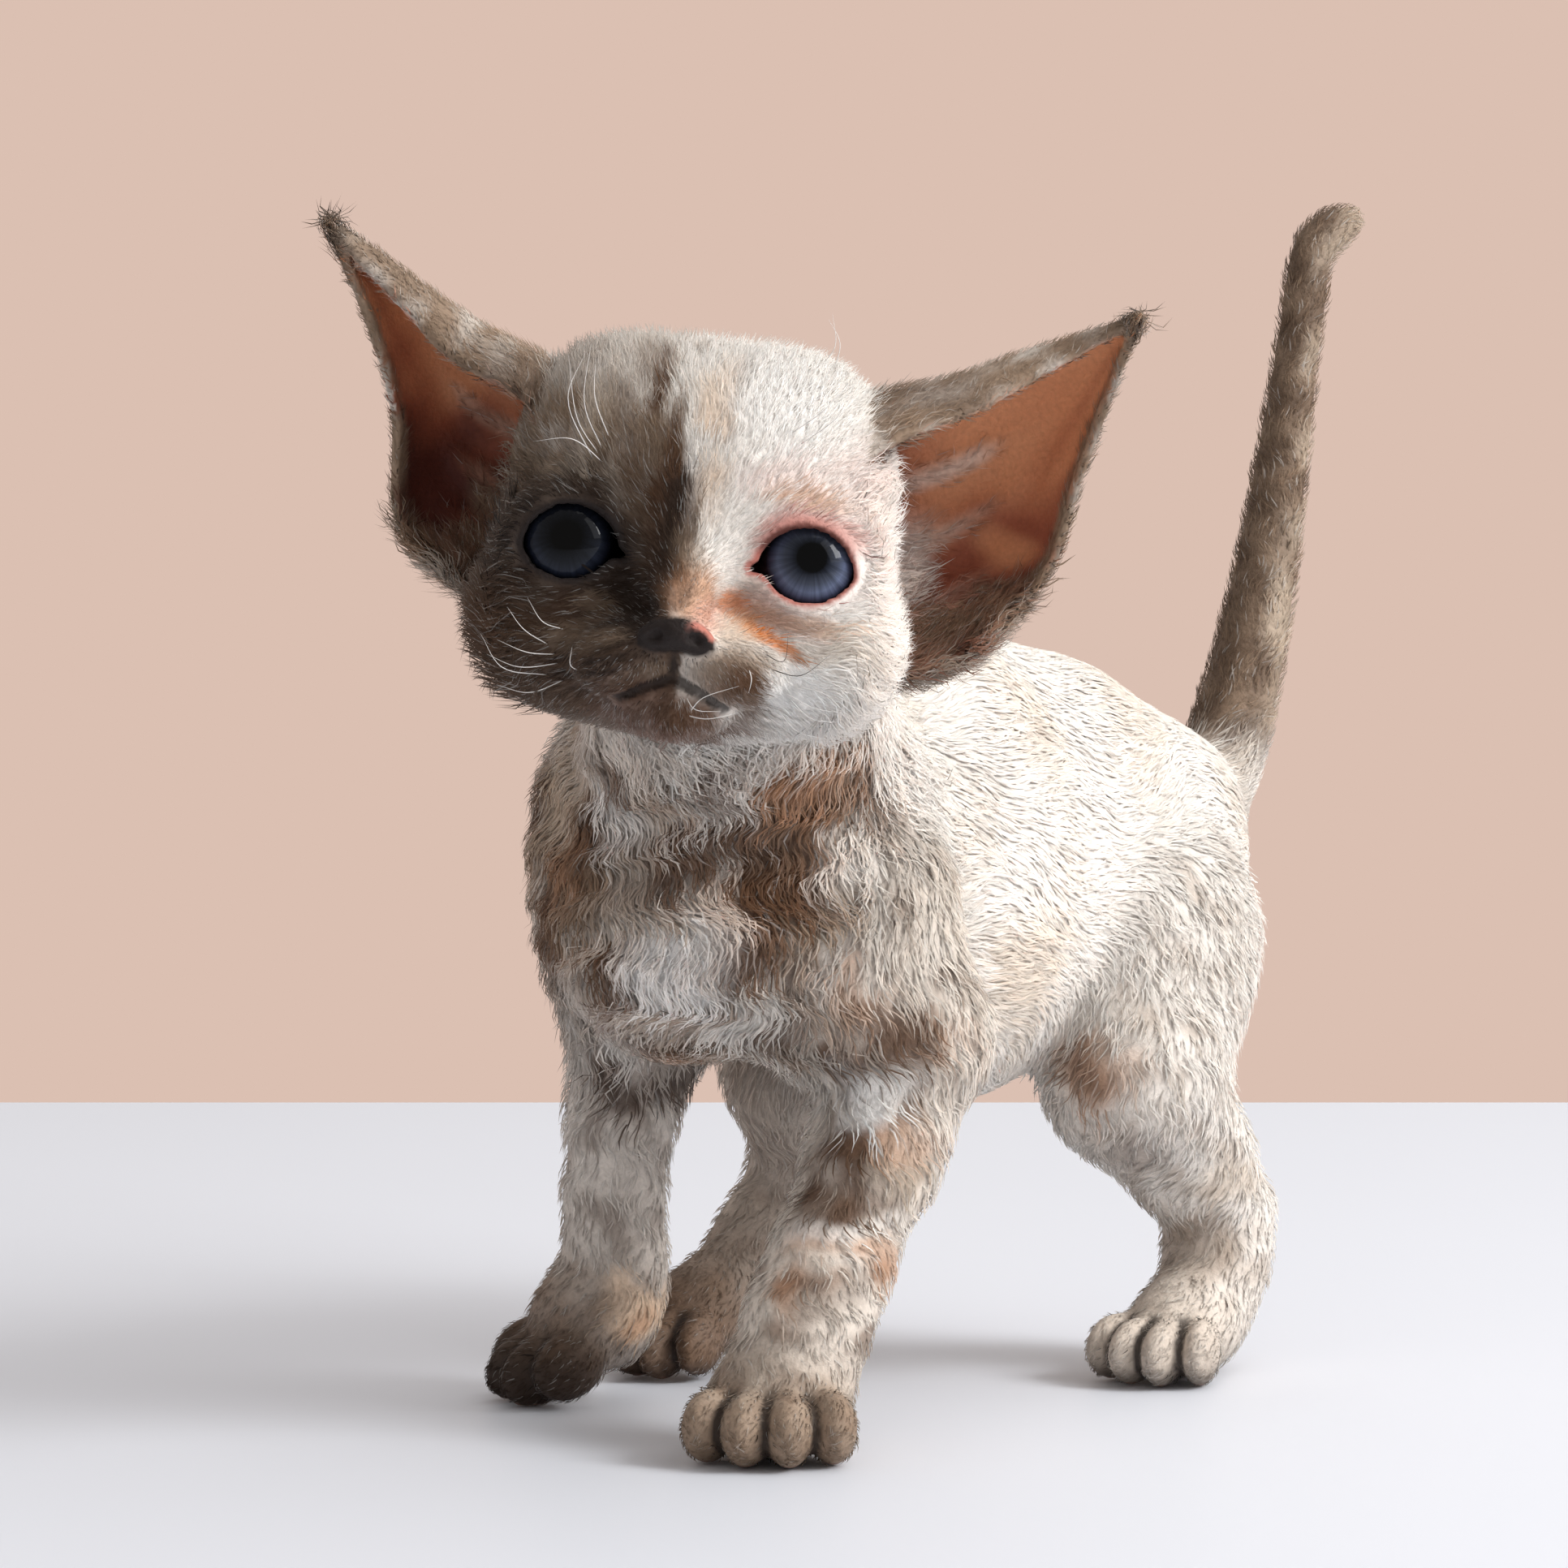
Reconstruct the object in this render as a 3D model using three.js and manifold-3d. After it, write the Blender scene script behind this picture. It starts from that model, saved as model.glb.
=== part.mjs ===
// A Devon Rex kitten about five weeks old, standing in mid-step with its head turned to its left.
// Millimetres, +Z up, the body faces -Y and its left side is at +X.
// Each surface is the outside of the short coat.
import * as THREE from "three";
import { mergeVertices } from "three/addons/utils/BufferGeometryUtils.js";
import Module from "manifold-3d";

const wasm = await Module();
wasm.setup();

// Driving sizes
const GAP = 0.35; // between one piece and the next
const BACK_HEIGHT = 113;
const BELLY_HEIGHT = 40;
const TRUNK_HALF_WIDTH = 26;
const SHOULDER_Y = 0;
const HIP_Y = 82;
const SKULL_HALF_WIDTH = 25.5;
const EYE_HALF_SPACING = 15.5;
const EYE_RADIUS = 7.6;
const EAR_WALL = 1.3;
const LEG_RADIUS = 8.4; // at the wrist
const TAIL_BASE_RADIUS = 8;
const TAIL_TIP_RADIUS = 3.2;
const TAIL_JOINTS = [0, 0.36, 0.69, 1]; // parts of the tail's length

// Widths over which masses flow into each other
const TRUNK_BLEND = 8;
const SKULL_BLEND = 7;
const THIGH_BLEND = 6;
const FACE_BLEND = 4;
const PAD_BLEND = 3.2;
const CHAIN_BLEND = 3;
const NOSE_BLEND = 1.6;
const TOE_BLEND = 1.2;
const LIP_SOFTNESS = 0.6;

// Where the head is, at the middle between the eyes, and how it is turned
const HEAD_PLACE = [28.9, -49.7, 124.6];
const HEAD_YAW = 34.5;
const HEAD_ROLL = 5.9;
const HEAD_PITCH = -3.4;

const vector = (p) => new THREE.Vector3(...p);
const radians = THREE.MathUtils.degToRad;
const LEFT = 1;
const RIGHT = -1;

// Fields: each takes a point and gives the distance to a surface, less than 0 inside it

// An egg-shaped mass; turn is in degrees about X, Y and Z.
function mass(centre, radii, turn = [0, 0, 0]) {
  const spin = new THREE.Quaternion().setFromEuler(new THREE.Euler(...turn.map(radians)));
  const inward = new THREE.Matrix4().compose(vector(centre), spin, vector([1, 1, 1])).invert();
  const r = vector(radii);
  const q = new THREE.Vector3();
  return (p) => {
    q.copy(p).applyMatrix4(inward).divide(r);
    const k0 = q.length();
    return (k0 * (k0 - 1)) / Math.max(q.divide(r).length(), 1e-9);
  };
}

// A limb that tapers from one round end to the other.
function limb(a, radiusA, b, radiusB) {
  const start = vector(a);
  const axis = vector(b).sub(start);
  const span = axis.lengthSq();
  const q = new THREE.Vector3();
  return (p) => {
    const t = THREE.MathUtils.clamp(q.copy(p).sub(start).dot(axis) / span, 0, 1);
    return q.addScaledVector(axis, -t).length() - THREE.MathUtils.lerp(radiusA, radiusB, t);
  };
}

// A chain of limbs through stops, each a point with a radius after it.
function chain(stops) {
  const link = ([...from], [...to]) => limb(from.slice(0, 3), from[3], to.slice(0, 3), to[3]);
  return blend(CHAIN_BLEND, ...stops.slice(1).map((stop, i) => link(stops[i], stop)));
}

// Several fields that flow into each other over a width of k.
function blend(k, ...fields) {
  return (p) =>
    fields.reduce((near, field) => {
      const d = field(p);
      const h = Math.max(k - Math.abs(near - d), 0) / k;
      return Math.min(near, d) - (h * h * k) / 4;
    }, 1e3);
}

// A field with others carved out of it, over a softened edge of k.
function carve(k, field, ...tools) {
  return (p) =>
    tools.reduce((d, tool) => {
      const t = -tool(p);
      const h = Math.max(k - Math.abs(d - t), 0) / k;
      return Math.max(d, t) + (h * h * k) / 4;
    }, field(p));
}

const grown = (field, by) => (p) => field(p) - by;
const aboveFloor = (field) => (p) => Math.max(field(p), -p.z);

// Meshes wrapped round a field

// The part of a way that is square to another.
function squared(way, along) {
  return vector(way).addScaledVector(along, -vector(way).dot(along)).normalize();
}

// Stations that fan out from one point, as the parallels of a globe do. The angles are degrees from the
// back pole.
function fan(origin, axis, side, angles) {
  const along = vector(axis).normalize();
  const station = { origin: vector(origin), along, across: squared(side, along), flat: false };
  return angles.map((angle) => ({ ...station, tilt: radians(angle - 90) }));
}

function evenly(count, from, to) {
  return Array.from({ length: count + 1 }, (_, i) => from + ((to - from) * i) / count);
}

// How far to each side a station looks, as a part of the curve, to find its direction
const STATION_LOOK = 0.09;

// Stations down a curve, from one part of its length to another: the places that rings of rays leave from.
// A tilt leans the rays towards the curve's end. A cap of 0 gives a flat end.
function stations(points, count, { from = 0, to = 1, startCap = 5, endCap = 5 } = {}) {
  const curve = new THREE.CatmullRomCurve3(points.map(vector));
  const at = (t, tilt, flat) => {
    const ahead = curve.getPointAt(Math.min(t + STATION_LOOK, 1));
    const along = ahead.sub(curve.getPointAt(Math.max(t - STATION_LOOK, 0))).normalize();
    return { origin: curve.getPointAt(t), along, across: squared([1, 0, 0], along), tilt, flat };
  };
  const cap = (t, n, sign) =>
    Array.from({ length: n }, (_, i) => at(t, (sign * Math.PI * (n - i)) / (2 * n), false));
  const middle = evenly(count - 1, from, to).map((t) => at(t, 0, false));
  const start = startCap ? cap(from, startCap, -1) : [at(from, 0, true)];
  const end = endCap ? cap(to, endCap, 1).reverse() : [at(to, 0, true)];
  return [...start, ...middle, ...end];
}

// How far out along a ray the surface is. It goes out from the origin, so the nearest surface counts.
function surfaceDistance(field, origin, direction, reach) {
  const touch = 0.01;
  const longestStep = 1.5;
  const p = new THREE.Vector3();
  let t = 0;
  while (t < reach) {
    const d = -field(p.copy(origin).addScaledVector(direction, t));
    if (d < touch) return Math.max(t, touch);
    t += THREE.MathUtils.clamp(d * 0.7, touch, longestStep);
  }
  return reach;
}

// A closed mesh round a field. The first and last station each give one point.
function wrap(field, stops, segments, reach = 75) {
  const flatLevel = 0.04;
  const positions = [];
  const index = [];
  const shoot = ({ origin, along, across, tilt }, angle) => {
    const up = new THREE.Vector3().crossVectors(along, across);
    const ray = across.clone().multiplyScalar(Math.cos(angle)).addScaledVector(up, Math.sin(angle));
    ray.multiplyScalar(Math.cos(tilt)).addScaledVector(along, Math.sin(tilt));
    const p = origin.clone().addScaledVector(ray, surfaceDistance(field, origin, ray, reach));
    if (Math.abs(p.z) < flatLevel) p.z = 0;
    return p;
  };
  const pole = (stop) => (stop.flat ? stop.origin : shoot(stop, 0));
  const rings = stops.slice(1, -1);
  pole(stops[0]).toArray(positions, 0);
  for (const stop of rings) {
    for (let j = 0; j < segments; j++) positions.push(...shoot(stop, (2 * Math.PI * j) / segments));
  }
  positions.push(...pole(stops[stops.length - 1]));
  const vertex = (ring, j) => 1 + ring * segments + (j % segments);
  const last = positions.length / 3 - 1;
  for (let j = 0; j < segments; j++) {
    index.push(0, vertex(0, j + 1), vertex(0, j));
    index.push(last, vertex(rings.length - 1, j), vertex(rings.length - 1, j + 1));
    for (let i = 0; i < rings.length - 1; i++) {
      index.push(vertex(i, j), vertex(i, j + 1), vertex(i + 1, j + 1));
      index.push(vertex(i, j), vertex(i + 1, j + 1), vertex(i + 1, j));
    }
  }
  return closed(positions, index);
}

function closed(positions, index) {
  const geometry = new THREE.BufferGeometry();
  geometry.setAttribute("position", new THREE.Float32BufferAttribute(positions, 3));
  return geometry.setIndex(index);
}

// Cutting: a geometry becomes a solid, tools are taken off it, and its largest piece comes back
function solid(geometry) {
  const bare = new THREE.BufferGeometry();
  bare.setAttribute("position", geometry.getAttribute("position"));
  bare.setIndex(geometry.getIndex());
  const merged = mergeVertices(bare, 1e-4);
  const vertProperties = new Float32Array(merged.getAttribute("position").array);
  const triVerts = new Uint32Array(merged.getIndex().array);
  return new wasm.Manifold(new wasm.Mesh({ numProp: 3, vertProperties, triVerts }));
}

function cut(geometry, ...tools) {
  const pieces = tools.reduce((left, tool) => left.subtract(solid(tool)), solid(geometry)).decompose();
  const mesh = pieces.sort((a, b) => b.volume() - a.volume())[0].getMesh();
  return closed(Array.from(mesh.vertProperties), Array.from(mesh.triVerts));
}

// The head, in its own frame: the middle between the eyes at the origin, the nose towards -Y

// The skull, the muzzle and the jaw, before the eyes, the mouth and the nostrils are opened.
function headMasses() {
  const both = (make) => [make(LEFT), make(RIGHT)];
  const skull = mass([0, 17, 7], [SKULL_HALF_WIDTH, 26, 23]);
  const crown = both((s) => mass([s * 12.5, 17, 15.5], [11.5, 17, 12.6]));
  const forehead = mass([0, 4, 11], [16, 11.5, 12]);
  const cheeks = both((s) => mass([s * 15.5, 8, -9.5], [12.5, 15, 12.5]));
  const jaw = mass([0, 9, -14], [17, 18, 10]);
  const orbits = both((s) => mass([s * EYE_HALF_SPACING, 0, 0.4], [9.6, 9.1, 9.2]));
  const bridge = limb([0, -3, 3], 6.4, [0, -11.6, -7.6], 4.2);
  const nose = mass([0, -14.2, -10.4], [4.3, 3, 3.1]);
  const pads = both((s) => mass([s * 6.3, -7.6, -13.9], [7.9, 7.6, 5.7], [0, s * 12, s * 10]));
  const chin = mass([0, -5.6, -19.6], [7.6, 7.2, 4.9]);
  const base = blend(SKULL_BLEND, skull, ...crown, forehead, ...cheeks, jaw);
  const face = blend(FACE_BLEND, base, ...orbits, bridge);
  return blend(NOSE_BLEND, blend(PAD_BLEND, face, ...pads), nose, chin);
}

// The opening between the lids, wider than high, with its inner corner low and its rims turned out.
function lidOpening(s) {
  const rim = 7;
  const seat = 5.7; // at the eyeball
  const depth = 8;
  const flatness = 0.84; // height over width
  const opening = new THREE.CylinderGeometry(seat, rim, depth, 26, 1).scale(1, 1, flatness);
  return opening.rotateY(s * radians(9)).translate(s * (EYE_HALF_SPACING + 0.2), -8.3, -0.2);
}

// The point of the face's front at a place across it and up it.
function onFace(face, x, z) {
  const beforeNose = -26;
  const step = 0.1;
  const p = vector([x, beforeNose, z]);
  while (face(p) > 0) p.y += step;
  return p.toArray();
}

// The groove under the nose and the line of the mouth, which turns down at both sides.
function mouthLine(face) {
  const groove = 0.75;
  const seam = onFace(face, 0, -16.2);
  const philtrum = limb(onFace(face, 0, -12.9), groove, seam, groove);
  const sides = [LEFT, RIGHT].flatMap((s) => {
    const fold = onFace(face, s * 3.8, -17.9);
    return [limb(seam, groove, fold, groove), limb(fold, groove, onFace(face, s * 7.2, -19.6), groove)];
  });
  return blend(0.5, philtrum, ...sides);
}

const nostril = (s) => mass([s * 2.6, -16.9, -11.2], [1.6, 1.6, 1.0], [0, s * 25, 0]);

function headField() {
  const face = headMasses();
  return carve(LIP_SOFTNESS, face, mouthLine(face), nostril(LEFT), nostril(RIGHT));
}

// Rings are close together on the muzzle and the eyes, and wide on the back of the head.
function headStations() {
  const noseEnd = 34; // degrees from the forward axis that the muzzle fills
  const faceEnd = 76;
  const muzzle = evenly(19, 0, noseEnd).slice(0, -1);
  const face = evenly(11, noseEnd, faceEnd).slice(0, -1);
  return fan([0, 10, -3], [0, 1, 0], [1, 0, 0], [...muzzle, ...face, ...evenly(8, faceEnd, 180)]);
}

const eyeball = (s, extra = 0) =>
  new THREE.SphereGeometry(EYE_RADIUS + extra, 18, 12)
    .rotateX(Math.PI / 2)
    .translate(s * EYE_HALF_SPACING, 0, 0);

// An ear is a cup that narrows to its tip. Across it, an arc runs from the front rim round the back to the
// outer rim. The right ear is drawn as a left one, and is pricked up a little more.
const EAR_RIDGE = {
  ear_left: [
    [13, 14, 16], [20, 17, 23.5], [31, 19.5, 27.8],
    [40.5, 19.5, 32.2], [49.3, 16.5, 35.8], [55, 13.6, 38.3],
  ],
  ear_right: [
    [13, 14, 16], [20, 17, 23.5], [31, 19.5, 28.2],
    [40.5, 19.5, 33.2], [48.3, 16.5, 37.6], [52.8, 13.6, 40],
  ],
};
const EAR_RIM = {
  ear_left: [
    [21, 11, -12], [34, 14.5, -11.5], [47.5, 18.5, 3.5],
    [50.2, 18.5, 16], [53.3, 15.8, 29], [55.6, 13.4, 37.6],
  ],
  ear_right: [
    [21, 11, -12], [31, 14.5, -6.8], [40.8, 18.5, 1],
    [42.7, 18.5, 15.5], [46.9, 15.8, 27], [53.2, 13.4, 39.2],
  ],
};
const EAR_FRONT_RIM_ANGLE = -52; // the front rim curls over the cup
const EAR_RIM_ANGLE = 172;
const EAR_DEPTH = 0.78; // the cup's depth over half its width
const EAR_BACK = [-0.3, 1, 0.1]; // the way the back of the cup faces

function ear(name) {
  const rows = 13;
  const columns = 9;
  const ridge = new THREE.CatmullRomCurve3(EAR_RIDGE[name].map(vector));
  const rim = new THREE.CatmullRomCurve3(EAR_RIM[name].map(vector));
  const positions = [];
  const index = [];
  for (let i = 0; i <= rows; i++) {
    const t = i / rows;
    const top = ridge.getPoint(t);
    const low = rim.getPoint(t);
    const middle = top.clone().add(low).multiplyScalar(0.5);
    const across = low.clone().sub(top);
    const half = across.length() / 2;
    across.normalize();
    const back = squared(EAR_BACK, across);
    const wall = EAR_WALL * THREE.MathUtils.lerp(1, 0.5, t);
    const arc = (j, inset) => {
      const angle = radians(THREE.MathUtils.lerp(EAR_FRONT_RIM_ANGLE, EAR_RIM_ANGLE, j / columns));
      const wide = Math.max(half - inset, 0.15);
      const deep = Math.max(EAR_DEPTH * half - inset, 0.1);
      const p = middle.clone().addScaledVector(across, -Math.cos(angle) * wide);
      return p.addScaledVector(back, Math.sin(angle) * deep);
    };
    for (let j = 0; j <= columns; j++) positions.push(...arc(j, 0));
    for (let j = columns; j >= 0; j--) positions.push(...arc(j, wall));
  }
  const loop = 2 * (columns + 1);
  const vertex = (i, j) => i * loop + (j % loop);
  for (let i = 0; i < rows; i++) {
    for (let j = 0; j < loop; j++) {
      index.push(vertex(i, j), vertex(i + 1, j + 1), vertex(i, j + 1));
      index.push(vertex(i, j), vertex(i + 1, j), vertex(i + 1, j + 1));
    }
  }
  for (let j = 0; j < columns; j++) {
    const inner = loop - 1 - j;
    index.push(vertex(0, j), vertex(0, j + 1), vertex(0, inner));
    index.push(vertex(0, j + 1), vertex(0, inner - 1), vertex(0, inner));
    index.push(vertex(rows, j), vertex(rows, inner), vertex(rows, j + 1));
    index.push(vertex(rows, j + 1), vertex(rows, inner), vertex(rows, inner - 1));
  }
  const geometry = closed(positions, index);
  if (name === "ear_right") {
    geometry.scale(-1, 1, 1);
    geometry.index.array.reverse();
  }
  return geometry;
}

// The trunk. The hips swing a little to the kitten's left.
function trunkField() {
  const middle = (BACK_HEIGHT + BELLY_HEIGHT) / 2;
  const chest = mass([0, SHOULDER_Y, 82], [26, 27, 30]);
  const barrel = mass([2, 42, middle], [TRUNK_HALF_WIDTH, 46, (BACK_HEIGHT - BELLY_HEIGHT) / 2]);
  const pelvis = mass([6, HIP_Y, 75], [22, 34, 25], [-12, 0, 0]);
  const spine = chain([
    [0, SHOULDER_Y, BACK_HEIGHT - 13, 13],
    [3, 38, BACK_HEIGHT - 12, 12.5],
    [6, 70, BACK_HEIGHT - 19, 13],
    [8, 98, BACK_HEIGHT - 29, 13],
  ]);
  const breast = mass([0, -15, 71], [19, 14, 18]);
  const shoulders = [
    mass([15, 0, 76], [12, 18, 26], [-10, 0, 0]),
    mass([-19.5, 0, 79], [13, 18, 27], [4, 0, 0]),
  ];
  return blend(TRUNK_BLEND, chest, barrel, pelvis, spine, breast, ...shoulders);
}

const trunkStations = () => stations([[0, -4, 82], [1, 30, 78], [3, 60, 76], [7, 94, 76]], 18);

const neckField = () => chain([[0, 8, 88, 22], [9, -14, 104, 20.5], [20, -34, 118, 17]]);

// The tail stands up and back from the rump, and its tip curls over
const TAIL_LINE = [
  [9, 99, 76],
  [10, 113, 90],
  [10.5, 121, 107],
  [10.5, 127, 124],
  [11, 131, 142],
  [11.5, 135, 160],
  [12, 138, 171],
  [14.5, 144, 175],
];

function tailField() {
  const curve = new THREE.CatmullRomCurve3(TAIL_LINE.map(vector));
  const links = 14;
  const stops = Array.from({ length: links + 1 }, (_, i) => {
    const t = i / links;
    const taper = Math.pow(1 - t, 1.6);
    return [...curve.getPointAt(t), THREE.MathUtils.lerp(TAIL_TIP_RADIUS, TAIL_BASE_RADIUS, taper)];
  });
  return chain(stops);
}

// Each leg: a thigh or upper arm, then stops down it, each with a radius. It parts from its paw at the last
// stop but one, and the last is in the paw. A bent leg is wrapped from its knee. Then come the paw's place,
// the way it points and how far its heel is raised.
const R = LEG_RADIUS;
const LEGS = {
  front_left: {
    upper: mass([21, 3, 68], [10.5, 14, 20], [-22, 0, 0]),
    line: [
      [20, 4, 76, 10],
      [23, 9.5, 56, R + 2.6],
      [21.5, 3, 40, R + 1],
      [20, -6, 25, R + 0.3],
      [19.4, -11, 16.5, R + 0.3],
      [19, -13, 10, R + 0.3],
    ],
    paw: { place: [18.8, -17], yaw: 30, size: 1.0, hind: false, lift: 0 },
  },
  front_right: {
    upper: mass([-21, 3, 70], [10.5, 14, 19], [-8, 0, 0]),
    line: [
      [-19, 2, 76, 10],
      [-22.5, 7, 56, R + 2],
      [-25.6, 6, 42, R - 0.6],
      [-27, 6, 30, R - 1.2],
      [-27.6, 7, 19.5, R - 0.8],
      [-29, 6, 12, R - 0.6],
    ],
    paw: { place: [-30.4, 6.8], yaw: -32, size: 0.97, hind: false, lift: 28 },
  },
  hind_left: {
    upper: mass([22, 76, 60], [12, 19, 24], [-24, 0, 0]),
    line: [
      [20, 82, 66, 14],
      [24, 66, 45, 13],
      [26, 78, 33, R + 1.4],
      [26, 88, 23, R - 0.4],
      [26.6, 85.5, 15, R - 0.6],
      [27.4, 79, 9, R - 1],
    ],
    knee: [24, 72, 42],
    paw: { place: [27.6, 72], yaw: 8, size: 0.98, hind: true, lift: 0 },
  },
  hind_right: {
    upper: mass([-14, 62, 60], [13, 20, 24], [-40, 0, 0]),
    line: [
      [-14, 72, 66, 14],
      [-19, 43, 46, 12.5],
      [-24, 50, 38, R + 0.6],
      [-28.5, 55, 29, R - 0.8],
      [-31, 48, 19, R - 1.2],
      [-33, 41, 11, R - 1.4],
    ],
    knee: [-21, 49, 43],
    paw: { place: [-34, 34.5], yaw: -4, size: 0.92, hind: true, lift: 12 },
  },
};

// A paw in its own frame: it points to -Y and stands on the floor at z = 0.
function pawField({ hind, lift, size }) {
  const spread = hind ? 0.84 : 1;
  const raise = radians(lift);
  const toe = (x, y) => {
    const sole = 5.1;
    return mass([x * spread, y, sole], [4.1 * spread, 7.2, sole + 0.6], [0, 0, x * 1.6]);
  };
  const toes = [toe(-8.4, -5.6), toe(-2.9, -9), toe(2.9, -9), toe(8.4, -5.6)];
  const palm = mass([0, 2.6, 7.2], [9.8 * spread, 11, 7.6]);
  const heel = hind ? limb([0, 4, 7.3], 7.2, [0, 12, 8.5], 7) : mass([0, 4, 8], [8.6, 9, 8]);
  const foot = blend(TOE_BLEND, blend(FACE_BLEND, palm, heel), ...toes);
  const q = new THREE.Vector3();
  const hinge = vector([0, -10, 2]);
  return (p) => {
    q.copy(p).divideScalar(size).sub(hinge).applyAxisAngle(vector([1, 0, 0]), -raise).add(hinge);
    return foot(q) * size;
  };
}

const pawStations = ({ hind }) => fan([0, hind ? 0 : -1, 5.5], [0, 1, 0], [1, 0, 0], evenly(19, 0, 180));

// A block that holds everything past a flat face at a point, in the way given.
function blockPast(point, way) {
  const reach = 60;
  const block = new THREE.BoxGeometry(reach, reach, reach).translate(0, 0, reach / 2);
  block.applyQuaternion(new THREE.Quaternion().setFromUnitVectors(vector([0, 0, 1]), way));
  return block.translate(...point);
}

// A leg and its paw in the kitten's frame, with a flat joint between them
function legAndPaw({ upper, line, knee, paw }, room) {
  const points = line.slice(0, -1).map((stop) => stop.slice(0, 3));
  const legField = blend(THIGH_BLEND, upper, chain(line));
  const lengthwise = stations(points, 13, { startCap: 3, endCap: 0 });
  const joint = lengthwise[lengthwise.length - 1];
  const bent = knee && fan(knee, joint.along.toArray(), [1, 0, 0], evenly(19, 0, 180));
  const below = bent ? [blockPast(joint.origin, joint.along)] : [];
  const leg = cut(wrap(legField, bent || lengthwise, 16, 50), room, ...below);
  const pawTop = joint.origin.clone().addScaledVector(joint.along, GAP);
  const above = blockPast(pawTop, joint.along.clone().negate());

  const placed = new THREE.Matrix4().makeRotationZ(radians(paw.yaw)).setPosition(...paw.place, 0);
  const back = placed.clone().invert();
  const [ankle, heel] = line.slice(-2);
  const start = joint.origin.clone().addScaledVector(joint.along, -2).applyMatrix4(back);
  const shank = limb([...start], ankle[3], [...vector(heel).applyMatrix4(back)], heel[3]);
  const standing = aboveFloor(blend(CHAIN_BLEND, pawField(paw), shank));
  const foot = wrap(standing, pawStations(paw), 26, 40).applyMatrix4(placed);
  return { leg, paw: cut(foot, above) };
}

function material(color, roughness = 0.9) {
  return new THREE.MeshStandardMaterial({ color, roughness, metalness: 0 });
}

const CREAM = material(0xe6dcd0);
const TABBY = material(0xa8937f);
const SEAL = material(0x6b5a4d);
const EAR_SKIN = material(0xb98374, 0.7);
const IRIS = material(0x3d4660, 0.1);

function piece(name, geometry, look) {
  const mesh = new THREE.Mesh(geometry, look);
  mesh.name = name;
  return mesh;
}

const kitten = new THREE.Group();

// Head, ears and eyes share the head's frame
const headGroup = new THREE.Group();
headGroup.position.set(...HEAD_PLACE);
headGroup.rotation.set(radians(HEAD_PITCH), radians(HEAD_ROLL), radians(HEAD_YAW), "ZXY");
headGroup.updateMatrix();
const skullWrap = (extra) => wrap(grown(headField(), extra), headStations(), 58, 45);
const eyeRooms = [eyeball(LEFT, GAP), eyeball(RIGHT, GAP), lidOpening(LEFT), lidOpening(RIGHT)];
const head = cut(skullWrap(0), ...eyeRooms);
const headRoom = skullWrap(GAP);
headGroup.add(piece("head", head, TABBY));
headGroup.add(piece("eye_left", eyeball(LEFT), IRIS), piece("eye_right", eyeball(RIGHT), IRIS));
for (const name of Object.keys(EAR_RIDGE)) headGroup.add(piece(name, cut(ear(name), headRoom), EAR_SKIN));
kitten.add(headGroup);

// Trunk, neck and tail
const trunkWrap = (extra) => wrap(grown(trunkField(), extra), trunkStations(), 32);
const trunkRoom = trunkWrap(GAP);
kitten.add(piece("torso", trunkWrap(0), CREAM));

const neckLine = [[0, 6, 90], [9, -14, 104], [19, -32, 117]];
const neck = wrap(neckField(), stations(neckLine, 8, { startCap: 3, endCap: 3 }), 26);
const headRoomInBody = headRoom.clone().applyMatrix4(headGroup.matrix);
kitten.add(piece("neck", cut(neck, trunkRoom, headRoomInBody), CREAM));

const tailLength = new THREE.CatmullRomCurve3(TAIL_LINE.map(vector)).getLength();
const tailNames = ["tail_base", "tail_middle", "tail_tip"];
for (const [i, name] of tailNames.entries()) {
  const from = TAIL_JOINTS[i] + (i > 0 ? GAP / tailLength : 0);
  const ends = { from, to: TAIL_JOINTS[i + 1], startCap: i > 0 ? 0 : 2, endCap: i < 2 ? 0 : 4 };
  const length = wrap(tailField(), stations(TAIL_LINE, 10, ends), 12, 20);
  kitten.add(piece(name, i > 0 ? length : cut(length, trunkRoom), SEAL));
}

for (const [name, shape] of Object.entries(LEGS)) {
  const { leg, paw } = legAndPaw(shape, trunkRoom);
  kitten.add(piece(`leg_${name}`, leg, TABBY), piece(`paw_${name}`, paw, SEAL));
}

// The origin is on the floor, under the middle of the kitten's box
const box = new THREE.Box3().setFromObject(kitten, true);
const middle = box.getCenter(new THREE.Vector3());
kitten.position.set(-middle.x, -middle.y, 0);

export default kitten;
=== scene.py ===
"""A Devon Rex kitten in mid-step: one skin under a short wavy coat, eyes and whiskers, in a pale studio.

Shapes are worked out in millimetres in the kitten's own frame: +Z up, the trunk faces -Y, its left side is at
+X and the middle of its trunk is at X = 0. Head coordinates have the middle between the eyes as their origin.
"""
from itertools import product

import bpy
import numpy as np
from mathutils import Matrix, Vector
from mathutils.kdtree import KDTree


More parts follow.
